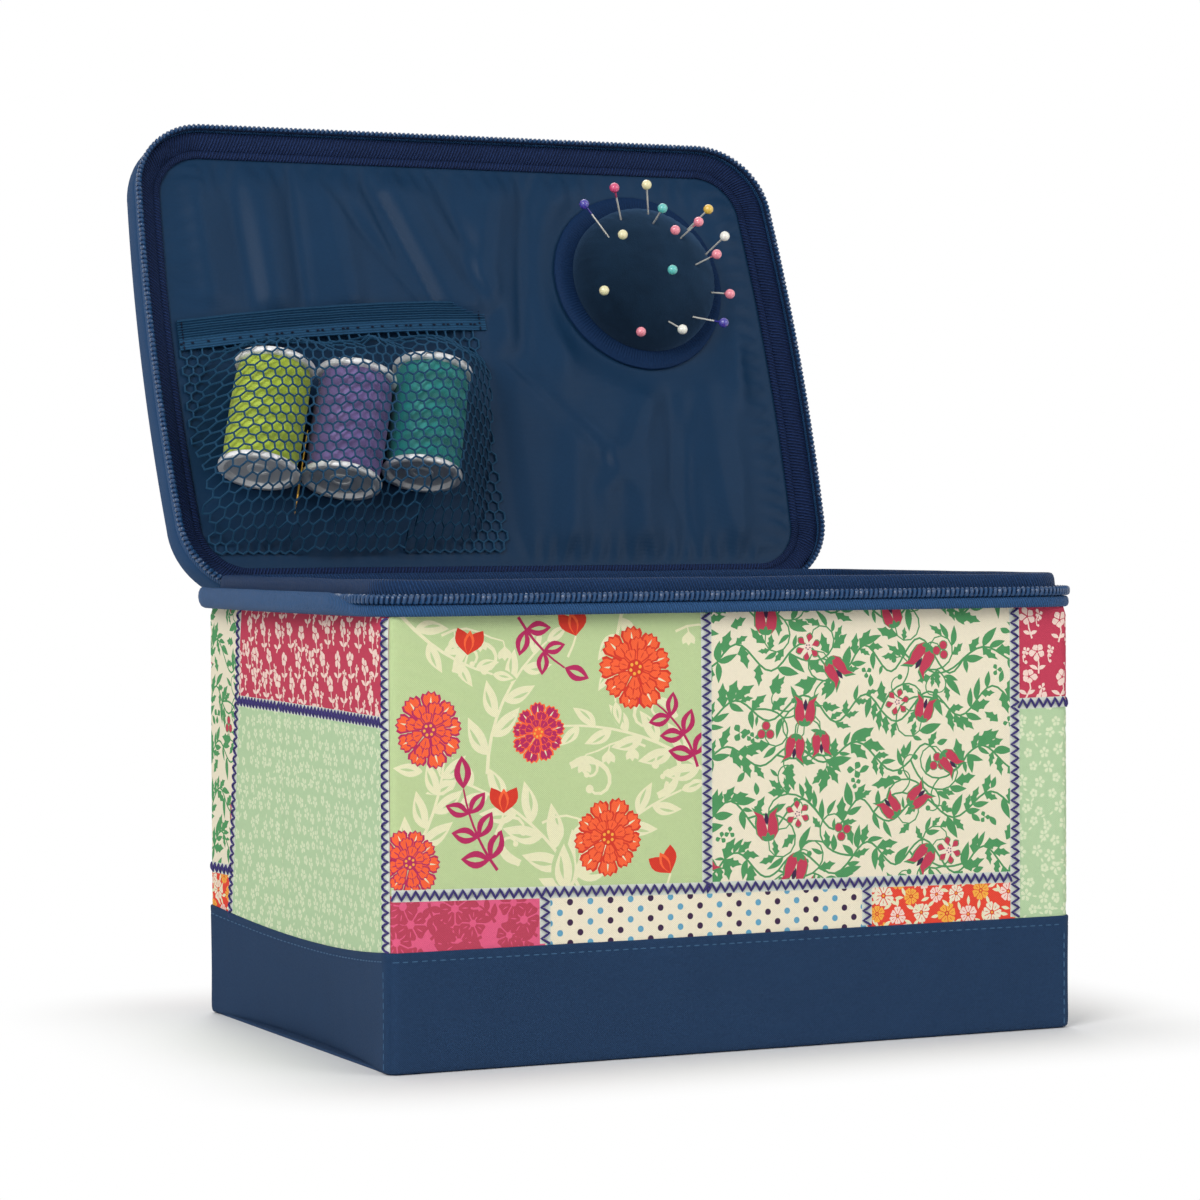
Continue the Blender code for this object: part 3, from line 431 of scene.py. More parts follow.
def lattice(rows, across, up, wrap_across=False, wrap_up=False):
    """Points, faces and corner UVs of a grid. The lists of UVs have one more number where the grid wraps."""
    tall = len(rows)
    wide = len(rows[0])
    faces = []
    corners = []
    for i in range(tall if wrap_up else tall - 1):
        for j in range(wide if wrap_across else wide - 1):
            below, above = i * wide, (i + 1) % tall * wide
            after = (j + 1) % wide
            faces.append((below + j, below + after, above + after, above + j))
            corners += [
                (across[j], up[i]), (across[j + 1], up[i]), (across[j + 1], up[i + 1]), (across[j], up[i + 1])
            ]
    return [p for row in rows for p in row], faces, corners


def capped(rows, around, ups):
    """A closed tube of rings with a face over each of its ends."""
    sides = len(rows[0])
    points, faces, corners = lattice(rows, around, ups, True)
    for first in (0, (len(rows) - 1) * sides):
        faces.append(tuple(range(first, first + sides)))
        corners += [(0.0, 0.0)] * sides
    return points, faces, corners


def filled(outline, spots):
    """Points, faces and corner UVs of a flat sheet inside an outline in mm, with spots that let it bend."""
    points = [Vector(p) for p in (*outline, *spots)]
    edges = [(k, (k + 1) % len(outline)) for k in range(len(outline))]
    made, _, faces, _, _, _ = delaunay_2d_cdt(points, edges, [], 1, 0.01, False)
    return made, [tuple(face) for face in faces], [(made[v].x, made[v].y) for face in faces for v in face]


def thickened(outer, inner, faces, corners):
    """A closed skin from a sheet's outer and inner points, joined along its open edges."""
    count = len(outer)
    edges = {}
    start = 0
    for face in faces:
        for k, first in enumerate(face):
            second = face[(k + 1) % len(face)]
            key = (min(first, second), max(first, second))
            uv = (corners[start + k], corners[start + (k + 1) % len(face)])
            edges[key] = None if key in edges else (first, second, uv)
        start += len(face)
    both = list(faces)
    uvs = list(corners)
    start = 0
    for face in faces:
        both.append(tuple(count + v for v in reversed(face)))
        uvs += list(reversed(corners[start:start + len(face)]))
        start += len(face)
    for value in edges.values():
        if value:
            first, second, (uv_first, uv_second) = value
            both.append((second, first, count + first, count + second))
            uvs += [uv_second, uv_first, uv_first, uv_second]
    return list(outer) + list(inner), both, uvs


def tube(points, radius, sides=6, closed=False):
    """A round tube along points; its radius is one number or one a point."""
    points = [Vector(p) for p in points]
    count = len(points)
    radii = radius if hasattr(radius, "__len__") else [radius] * count
    rows = []
    normal = None
    along = 0.0
    ups = [0.0]
    for i, point in enumerate(points):
        before = points[i - 1] if i or closed else point
        after = points[(i + 1) % count] if i < count - 1 or closed else point
        tangent = (after - before).normalized()
        if normal is None:
            normal = tangent.orthogonal()
        normal = (normal - tangent * normal.dot(tangent)).normalized()
        side = tangent.cross(normal)
        turn = [2 * math.pi * k / sides for k in range(sides)]
        rows.append([point + (normal * math.cos(a) + side * math.sin(a)) * radii[i] for a in turn])
        along += (points[(i + 1) % count] - point).length
        ups.append(along / MM)
    around = [2 * math.pi * radii[0] / MM * k / sides for k in range(sides + 1)]
    return lattice(rows, around, ups, True, True) if closed else capped(rows, around, ups)


def spread(count, turn=0.0):
    """Angles spaced evenly round a full turn."""
    return [turn + math.tau * k / count for k in range(count)]


class Piece:
    """Gathers closed shells into one mesh, rides it on a body and hides the solids it stands for."""

    def __init__(self, *parts):
        self.points = []
        self.faces = []
        self.corners = []
        self.indices = []
        self.materials = []
        for shell, material in parts:
            self.add(shell, material)

    def add(self, shell, material, indices=None):
        points, faces, corners = shell
        if indices is None:
            if material not in self.materials:
                self.materials.append(material)
            indices = [self.materials.index(material)] * len(faces)
        start = len(self.points)
        self.points += points
        self.faces += [tuple(start + v for v in face) for face in faces]
        self.corners += corners
        self.indices += indices

    def stitch(self, shells, material):
        for shell in shells:
            self.add(shell, material)

    def done(self, name, body, slot, stands_for=()):
        mesh = bpy.data.meshes.new(name)
        mesh.from_pydata([tuple(p) for p in self.points], [], self.faces)
        layer = mesh.uv_layers.new(name="mm")
        layer.data.foreach_set("uv", [value for corner in self.corners for value in corner])
        for material in self.materials:
            mesh.materials.append(material)
        mesh.polygons.foreach_set("material_index", self.indices)
        bm = bmesh.new()
        bm.from_mesh(mesh)
        bmesh.ops.recalc_face_normals(bm, faces=bm.faces)
        bm.to_mesh(mesh)
        bm.free()
        if body == "lid":
            mesh.transform(LID)
        mesh.shade_smooth()
        mesh.set_sharp_from_angle(angle=SHARP_ANGLE)
        obj = bpy.data.objects.new(name, mesh)
        bpy.context.scene.collection.objects.link(obj)
        if body:
            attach(obj, body)
        if stands_for:
            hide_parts(*stands_for)
        return obj


def loop(half_x, half_y, radius, step, shift=None, centre_y=0.0):
    """Points, outward directions and distances round a rounded rectangle, from the middle of its back."""
    run_x = half_x - radius
    run_y = half_y - radius
    track = []

    def straight(start, end, out):
        count = max(round((end - start).length / step), 1)
        for k in range(count):
            track.append((start + (end - start) * k / count, out.copy()))

    def corner(centre, first):
        count = max(round(radius * math.pi / 2 / step), 4)
        for k in range(count):
            angle = first + math.pi / 2 * k / count
            out = Vector((math.cos(angle), math.sin(angle)))
            track.append((Vector(centre) + out * radius, out))

    straight(Vector((0, half_y)), Vector((-run_x, half_y)), Vector((0, 1)))
    corner((-run_x, run_y), math.pi / 2)
    straight(Vector((-half_x, run_y)), Vector((-half_x, -run_y)), Vector((-1, 0)))
    corner((-run_x, -run_y), math.pi)
    straight(Vector((-run_x, -half_y)), Vector((run_x, -half_y)), Vector((0, -1)))
    corner((run_x, -run_y), math.pi * 3 / 2)
    straight(Vector((half_x, -run_y)), Vector((half_x, run_y)), Vector((1, 0)))
    corner((run_x, run_y), 0)
    straight(Vector((run_x, half_y)), Vector((0, half_y)), Vector((0, 1)))
    if shift:
        for point, _ in track:
            if abs(point.y) < run_y:
                point.x += shift(point.y, run_y) * math.copysign(1, point.x)
    placed = []
    distance = 0.0
    for k, (point, out) in enumerate(track):
        placed.append((point + Vector((0, centre_y)), out, distance))
        distance += (track[(k + 1) % len(track)][0] - point).length
    return placed, distance


def rim_bulge(y, run_y):
    return ZIP_BULGE * (1 - (y / run_y) ** 2)


def body_rim(step):
    return loop(LENGTH / 2 + ZIP_OVERHANG, WIDTH / 2 + ZIP_OVERHANG, BODY_RIM_RADIUS, step, rim_bulge)


def lid_rim(step, inset=0.0):
    half = ZIP_OVERHANG - inset
    return loop(LENGTH / 2 + half, WIDTH / 2 + half, LID_RIM_RADIUS - inset, step, rim_bulge, -HINGE_Y)


def sweep(track, total, profile):
    """A closed ring: profile(point, out, distance) gives (outwards, upwards) pairs round its section."""
    sections = [profile(point, out, distance) for point, out, distance in track]
    count = len(sections[0])
    rows = []
    for k in range(count):
        row = []
        for (point, out, _), section in zip(track, sections):
            row.append((point + out * section[k][0]).to_3d() + Vector((0, 0, section[k][1])))
        rows.append(row)
    first = sections[0]
    ups = [0.0]
    for k in range(count):
        ahead = first[(k + 1) % count]
        ups.append(ups[-1] + math.hypot(ahead[0] - first[k][0], ahead[1] - first[k][1]) / MM)
    across = [distance / MM for _, _, distance in track] + [total / MM]
    return lattice(rows, across, ups, True, True)


def smoothstep(low, high, value):
    share = min(max((value - low) / (high - low), 0), 1)
    return share * share * (3 - 2 * share)


def ripple(x, y, z=0.0):
    return noise.noise(Vector((x, y, z)))


# ---------------------------------------------------------------- printed patchwork


class Print(list):
    """The shapes of a print, from the lowest to the uppermost, each with the key of its colour."""

    def blade(self, key, form, angle, x, y):
        self.append((put(blade(*form), angle, x, y), key))

    def disc(self, key, *form):
        self.append((disc(*form), key))

    def stem(self, key, *form):
        self.append((stem(*form), key))


def polar(x, y, reach, angle):
    return x + reach * math.cos(angle), y + reach * math.sin(angle)


def rect(x0, y0, x1, y1):
    return [(x0, y0), (x1, y0), (x1, y1), (x0, y1)]


def put(shape, angle, x, y):
    cos, sin = math.cos(angle), math.sin(angle)
    return [(x + cos * a - sin * b, y + sin * a + cos * b) for a, b in shape]


def blade(length, width, lean=1.0, steps=6, curl=0.0):
    """A leaf or petal from the origin along the first axis; lean moves its widest part outwards."""
    shares = [k / steps for k in range(steps + 1)]
    line = [(length * t, curl * length * t * t, width / 2 * math.sin(math.pi * t**lean)) for t in shares]
    upper = [(x, y + w) for x, y, w in line]
    lower = [(x, y - w) for x, y, w in line[1:-1]]
    return upper + lower[::-1]


def disc(x, y, radius, steps=12):
    turn = [2 * math.pi * k / steps for k in range(steps)]
    return [polar(x, y, radius, a) for a in turn]


def stem(points, start, end):
    """A tapering stroke through points."""
    left = []
    right = []
    for k, (x, y) in enumerate(points):
        before = points[max(k - 1, 0)]
        after = points[min(k + 1, len(points) - 1)]
        dx, dy = after[0] - before[0], after[1] - before[1]
        size = math.hypot(dx, dy) or 1
        half = (start + (end - start) * k / (len(points) - 1)) / 2
        left.append((x - dy / size * half, y + dx / size * half))
        right.append((x + dy / size * half, y - dx / size * half))
    return left + right[::-1]


def petal(radius, half_angle, notch=0.1, base=0.16):
    """A petal of a round flower, pointing along the first axis, with a scalloped edge."""
    tip = []
    for k in range(11):
        t = 2 * k / 10 - 1
        reach = radius * (1 - 0.16 * t**4 - notch * math.exp(-((t / 0.22) ** 2)) + 0.03 * math.cos(9 * t))
        tip.append((reach * math.cos(half_angle * t), reach * math.sin(half_angle * t)))
    waist = half_angle * 0.6
    near = radius * base
    return [
        (near * math.cos(waist), -near * math.sin(waist))
    ] + tip + [(near * math.cos(waist), near * math.sin(waist))]


def bloom(x, y, radius, petals, keys, turn=0.0):
    """A round flower: petals with slits between them, veins and a middle."""
    shapes = Print()
    half = math.pi / petals * 0.9
    for angle in spread(petals, turn):
        size = radius * (1 + 0.07 * math.sin(3 * angle + x))
        shapes.append((put(petal(size, half), angle, x, y), keys[0]))
        if len(keys) > 2:
            vein = put(blade(size * 0.42, size * 0.07, 1.0, 4), angle, *polar(x, y, size * 0.4, angle))
            shapes.append((vein, keys[2]))
    shapes.disc(keys[1], x, y, radius * 0.24)
    return shapes


def tulip(x, y, size, angle, key, inner):
    """A three-petalled bud with a paler heart."""
    shapes = Print()
    for side in (-1, 1):
        shapes.blade(key, (size, size * 0.6, 1.1, 6, 0.2 * side), angle + 0.3 * side, x, y)
    shapes.blade(inner, (size * 0.86, size * 0.4, 1.1, 5), angle, x, y)
    shapes.blade(key, (size * 0.7, size * 0.24, 1.1, 5), angle, x, y)
    return shapes


def lobed(length, width, bend=0.0):
    """A leaf with two lobes a side, bent to one side."""
    steps = ((0.10, 0.26), (0.26, 0.62), (0.38, 1.0), (0.46, 0.56), (0.56, 0.60), (0.68, 0.80), (0.78, 0.40))
    upper = [(length * t, bend * length * t * t + width / 2 * share) for t, share in steps]
    lower = [(length * (t - 0.05), bend * length * t * t - width / 2 * share) for t, share in steps]
    return [(0, 0)] + lower + [(length, bend * length)] + upper[::-1]


def bellflower(x, y, size, angle, rim="vine"):
    """A drooping bud: two full petals with flared tips, a dark slit between them and a leafy cap."""
    shapes = Print()
    for grow, key in ((1.12, rim), (1.0, "raspberry")):
        for side in (-1, 1):
            line = (
                (0.0, 0.0), (0.05, 0.2), (0.25, 0.36), (0.55, 0.38), (0.8, 0.32), (1.02, 0.44), (0.84, 0.12),
                (0.6, 0.05), (0.3, 0.0)
            )
            half = [(size * t * (grow if t else 1), size * side * w * grow) for t, w in line]
            shapes.append((put(half, angle, x - 0.04 * size * (grow - 1), y), key))
    shapes.blade("plum", (size * 0.42, size * 0.16, 1.0, 4), angle, *polar(x, y, 0.5 * size, angle))
    for lean in (-0.9, 0.0, 0.9):
        shapes.blade(rim, (size * 0.3, size * 0.16, 1.0, 4), angle + lean, x, y)
    return shapes


def rosette(x, y, size, turn):
    """A small flower with parted petals and a dotted heart."""
    shapes = Print()
    for angle in spread(6, turn):
        start = polar(x, y, 0.3 * size, angle)
        shapes.blade("vine", (size * 0.74, size * 0.56, 1.5, 5), angle, *start)
        shapes.blade("raspberry", (size * 0.66, size * 0.44, 1.5, 5), angle, *start)
    shapes.disc("blossom", x, y, size * 0.3, 9)
    for angle in spread(5, turn):
        shapes.disc("plum", *polar(x, y, size * 0.16, angle), size * 0.06, 5)
    return shapes


def fan(radius, half_angle, base, teeth=4):
    """A fluted petal with a toothed outer edge, pointing along the first axis."""
    edge = []
    for k in range(2 * teeth + 1):
        t = k / teeth - 1
        reach = radius * (1 - 0.10 * t * t) * (0.93 if k % 2 == 0 else 1.0)
        edge.append((reach * math.cos(half_angle * t), reach * math.sin(half_angle * t)))
    waist = half_angle * 0.45
    near = radius * base
    return [
        (near * math.cos(waist), -near * math.sin(waist))
    ] + edge + [(near * math.cos(waist), near * math.sin(waist))]


def marigold(x, y, radius, keys, turn=0.0):
    """A many-petalled flower of fluted rings round a seeded heart."""
    petal_key, dark, light, seed = keys
    shapes = Print()
    for ring, (share, count) in enumerate(((1.0, 9), (0.74, 8), (0.5, 7))):
        half = math.pi / count
        for angle in spread(count, turn + ring * 0.37):
            size = radius * share * (1 + 0.06 * math.sin(2 * angle + x + ring))
            shapes.append((put(fan(size, half * 0.98, 0.2), angle, x, y), dark))
            shapes.append((put(fan(size * 0.96, half * 0.78, 0.3), angle, x, y), petal_key))
            vein = put(blade(size * 0.36, size * 0.05, 1.0, 4), angle, *polar(x, y, size * 0.5, angle))
            shapes.append((vein, dark if ring else light))
    shapes.disc(dark, x, y, radius * 0.22, 12)
    for angle in spread(6, turn):
        shapes.disc(seed, *polar(x, y, radius * 0.13, angle), radius * 0.045, 6)
    return shapes


def heart_leaf(x, y, angle, size, key, ground):
    """A leaf with a slit of the ground's colour along its middle."""
    slit = put(blade(size * 0.62, size * 0.16, 1.0, 4), angle, *polar(x, y, size * 0.2, angle))
    return [(put(blade(size, size * 0.56, 0.95, 7), angle, x, y), key), (slit, ground)]


def spray(x, y, angle, length, pairs, key, leaf=6.0, bend=0.0, ground=None):
    """A twig with pairs of leaves and one at its tip, slit where a ground colour is given."""

    def leaves(px, py, heading, size):
        if ground:
            return heart_leaf(px, py, heading, size, key, ground)
        return [(put(blade(size, size * 0.46, 0.85, 7, 0.1), heading, px, py), key)]

    points = []
    heading = angle
    px, py = x, y
    count = pairs * 2 + 1
    shapes = Print()
    for k in range(count + 1):
        points.append((px, py))
        if k % 2 and k < count:
            size = leaf * (1 - 0.25 * k / count)
            for side in (-1, 1):
                shapes += leaves(px, py, heading + side * 0.95, size)
        px += math.cos(heading) * length / count
        py += math.sin(heading) * length / count
        heading += bend / count
    shapes += leaves(points[-1][0], points[-1][1], heading, leaf)
    shapes.stem(key, points, 1.1, 0.6)
    return shapes


def span(quad):
    xs = [x for x, _ in quad]
    ys = [y for _, y in quad]
    return min(xs), max(xs), min(ys), max(ys)


def staggered(quad, pitch_x, pitch_y, margin=2.0):
    low_x, high_x, low_y, high_y = span(quad)
    row = 0
    y = low_y - margin
    while y < high_y + margin:
        x = low_x - margin + (pitch_x / 2 if row % 2 else 0)
        column = 0
        while x < high_x + margin:
            yield x, y, row, column
            x += pitch_x
            column += 1
        y += pitch_y
        row += 1


def dots(quad, rng):
    shapes = Print()
    for x, y, row, column in staggered(quad, 7.4, 3.4):
        shapes.disc(("sky", "plum")[row % 2] if column % 2 else ("plum", "sky")[row % 2], x, y, 1.12, 12)
    return shapes


def mini_flowers(quad, rng):
    """Small pale flowers, tone on tone."""
    shapes = Print()
    for x, y, _, _ in staggered(quad, 6.4, 5.2):
        x += rng.uniform(-1.5, 1.5)
        y += rng.uniform(-1.2, 1.2)
        turn = rng.uniform(0, 6)
        size = rng.uniform(1.7, 2.5)
        for angle in spread(5, turn):
            shapes.blade("mint_flower", (size, 1.5, 1.7, 4), angle, x, y)
        shapes.disc("mint", x, y, 0.42, 6)
        for _ in range(rng.choice((0, 1, 2))):
            angle = rng.uniform(0, math.tau)
            away = rng.uniform(2.7, 3.4)
            shapes.blade("mint_flower", (2.0, 0.85, 1.0, 3), angle, *polar(x, y, away, angle))
    return shapes


def sprigs(quad, rng):
    """Pale blossom twigs on raspberry."""
    shapes = Print()
    for x, y, _, _ in staggered(quad, 13.0, 9.6):
        x += rng.uniform(-2.2, 2.2)
        y += rng.uniform(-1.8, 1.8)
        lean = rng.uniform(0.9, 2.2)
        drift = rng.uniform(-2.4, 2.4)
        shapes.stem("blossom", [(x + drift, y - 5.6), (x + 0.7, y - 2.0), (x, y + 1.6)], 0.7, 0.5)
        for angle in spread(5, lean):
            shapes.blade("blossom", (rng.uniform(2.5, 3.8), 2.5, 1.7, 5), angle, x, y + 2.2)
        shapes.disc("raspberry", x, y + 2.2, 0.5, 6)
        for side in (-1, 1):
            shapes.blade(
                "blossom", (rng.uniform(3.0, 4.4), 1.5, 1.0, 4, 0.15 * side), math.pi / 2 + side * 1.0,
                x + drift * 0.6, y - 4.2
            )
        away = rng.uniform(4.8, 6.6)
        high = rng.uniform(-3.0, 3.0)
        for angle in spread(4, lean):
            size = rng.uniform(1.3, 2.2)
            shapes.blade("blossom", (size, 1.3, 1.6, 4), angle, x + away, y + high)
        twig = [(x + away, y + high), (x + away - 1.2, y + high - 2.0), (x + away - 0.8, y + high - 4.0)]
        shapes.stem("blossom", twig, 0.5, 0.4)
        for spot in twig[1:]:
            shapes.disc("blossom", spot[0] + rng.uniform(0.4, 1.0), spot[1], rng.uniform(0.45, 0.8), 7)
    return shapes


def tonal_leaves(quad, rng):
    """Wine-coloured foliage on magenta."""
    shapes = Print()
    for x, y, row, column in staggered(quad, 10.0, 6.0):
        angle = rng.uniform(0, math.tau)
        x += rng.uniform(-1.5, 1.5)
        y += rng.uniform(-1.2, 1.2)
        if (row + column) % 2:
            shapes += bloom(x, y, rng.uniform(4.4, 6.0), 6, ("wine", "magenta", "magenta"), angle)
        else:
            shapes += spray(x, y, angle, 8.0, 2, "wine", 5.4, 0.5)
    return shapes


def daisies(quad, rng):
    """Cream and gold daisies with small leaves on red."""
    shapes = Print()
    for x, y, row, column in staggered(quad, 9.6, 6.4):
        x += rng.uniform(-1.2, 1.2)
        y += rng.uniform(-1.0, 1.0)
        turn = rng.uniform(0, 6)
        for side in range(3):
            angle = turn + side * 2.1
            shapes.blade("pale", (3.6, 1.3, 1.0, 4), angle, *polar(x, y, 3.0, angle))
        size = rng.uniform(2.6, 4.0)
        ring = ("cream", "gold", "blossom")[(row + column) % 3]
        shapes += bloom(x, y, size, 6, (ring, "ember", "ember"), turn)
        shapes.disc("gold", x, y, size * 0.12, 6)
    return shapes


def curl(x, y, heading, reach, side, steps=13):
    """A tendril that winds in on itself."""
    points = []
    for step in range(steps):
        points.append((x, y))
        x += math.cos(heading) * reach / 8
        y += math.sin(heading) * reach / 8
        heading -= side * (0.10 + 0.055 * step)
    return points


class Ground:
    """Printed places in coarse cells, to keep clear ground between motifs."""

    def __init__(self):
        self.cells = {}

    def take(self, spots):
        for x, y in spots:
            self.cells.setdefault((round(x / 4), round(y / 4)), []).append((x, y))

    def clear(self, spots, gap):
        for x, y in spots:
            column, row = round(x / 4), round(y / 4)
            for i in (column - 1, column, column + 1):
                for j in (row - 1, row, row + 1):
                    for px, py in self.cells.get((i, j), ()):
                        if (px - x) ** 2 + (py - y) ** 2 <= gap * gap:
                            return False
        return True


def vines(quad, rng):
    """Scrolling green stems with lobed leaves, tendrils and raspberry buds on cream, closely filled."""
    low_x, high_x, low_y, high_y = span(quad)
    shapes = Print()
    flowers = Print()
    ground = Ground()
    growth = []

    def grow(line, start, finish):
        shapes.stem("vine", line, start, finish)
        for k, (x, y) in enumerate(line[:-1]):
            after = line[k + 1]
            ground.take([(x, y), ((x + after[0]) / 2, (y + after[1]) / 2)])
            growth.append((x, y, math.atan2(after[1] - y, after[0] - x)))
        ground.take([line[-1]])

    starts = []
    for x, y, row, column in staggered(quad, 25.0, 17.5, 9.0):
        side = 1 if (row + column) % 2 else -1
        x += rng.uniform(-3.0, 3.0)
        y += rng.uniform(-2.5, 2.5)
        heading = (0.5 if side > 0 else 2.4) + rng.uniform(-0.6, 0.6) + (math.pi if row % 2 else 0)
        scroll = curl(x, y, heading, rng.uniform(20, 25), side, 14)
        starts.append((x, y, row))
        grow(scroll, 0.75, 0.45)
        tip = scroll[-1]
        inward = math.atan2(tip[1] - scroll[-2][1], tip[0] - scroll[-2][0])
        kind = (row * 2 + column) % 5
        if kind in (0, 2, 3):
            size = rng.uniform(8.0, 11.5)
            flowers += bellflower(tip[0], tip[1], size, inward, "vine")
            reach = [polar(tip[0], tip[1], size * t, inward) for t in (0.2, 0.45, 0.7, 0.95)]
            for px, py in reach:
                ground.take([(px - r * math.sin(inward), py + r * math.cos(inward)) for r in (-2.6, 0, 2.6)])
        elif kind == 1:
            size = rng.uniform(4.2, 5.2)
            middle = polar(tip[0], tip[1], size * 0.7, inward)
            flowers += rosette(*middle, size, rng.uniform(0, 6))
            ground.take(polar(middle[0], middle[1], r, a) for r in (0, 2.2, 4.0) for a in range(6))
        else:
            for k in range(3):
                spot = (tip[0] + 1.9 * math.cos(inward + k * 2.1), tip[1] + 1.9 * math.sin(inward + k * 2.1))
                flowers.disc("vine", *spot, 1.75, 10)
                flowers.disc("raspberry", *spot, 1.45, 10)
                ground.take([spot])
        fork = scroll[5]
        away = math.atan2(scroll[6][1] - fork[1], scroll[6][0] - fork[0]) + side * 0.9
        shoot = curl(fork[0], fork[1], away, rng.uniform(9, 12), -side, 11)
        grow(shoot, 0.6, 0.4)
        shapes.disc("vine", *shoot[-1], 1.0, 8)
    for (ax, ay, row), (bx, by, other) in zip(starts, starts[1:]):
        if row == other:
            sway = rng.uniform(3, 6) * (1 if row % 2 else -1)
            line = []
            for k in range(13):
                rise = sway * math.sin(math.pi * k / 6)
                line.append((ax + (bx - ax) * k / 12, ay + (by - ay) * k / 12 + rise))
            grow(line, 0.7, 0.7)
    for x, y, heading in growth:
        for side in (-1, 1):
            size = rng.uniform(5.2, 9.0)
            aim = heading + side * rng.uniform(0.65, 1.25)
            for length in (size, size * 0.74, size * 0.52):
                bend = -side * rng.uniform(0.1, 0.35)
                line = [(*polar(0, 0, length * t, aim), bend * length * t * t) for t in (0.5, 0.75, 1.0)]
                tips = [
                    (x + across - off * math.sin(aim), y + along + off * math.cos(aim)) for across, along,
                    off in line
                ]
                if ground.clear(tips[:2], 1.7) and ground.clear(tips[2:], 1.3):
                    if length > 4.4 and rng.random() < 0.6:
                        shape = lobed(length, length * rng.uniform(0.46, 0.6), bend)
                    else:
                        shape = blade(length, length * rng.uniform(0.3, 0.42), 0.85, 6, bend)
                    shapes.append((put(shape, aim, x, y), "vine"))
                    ground.take(tips)
                    break
    for gap, length in ((3.6, 6.4), (2.7, 4.4)):
        for _ in range(int((high_x - low_x) * (high_y - low_y) / 12)):
            x, y = rng.uniform(low_x, high_x), rng.uniform(low_y, high_y)
            if ground.clear([(x, y)], gap):
                turn = rng.uniform(0, 6)
                if rng.random() < 0.7:
                    middle = length / 2
                    large = gap > 3
                    leaf = lobed(length, length * 0.62, 0.2) if large else blade(length, length * 0.5, 0.9, 6, 0.2)
                    shapes.append(
                        (put(leaf, turn, x - middle * math.cos(turn), y - middle * math.sin(turn)), "vine")
                    )
                    ground.take(polar(x, y, r, turn) for r in (-middle * 0.7, middle * 0.7))
                else:
                    for k in range(3):
                        shapes.blade("vine", (length * 0.5, length * 0.4, 1.5, 5), turn + k * 2.1, x, y)
                ground.take([(x, y)])
    return shapes + flowers


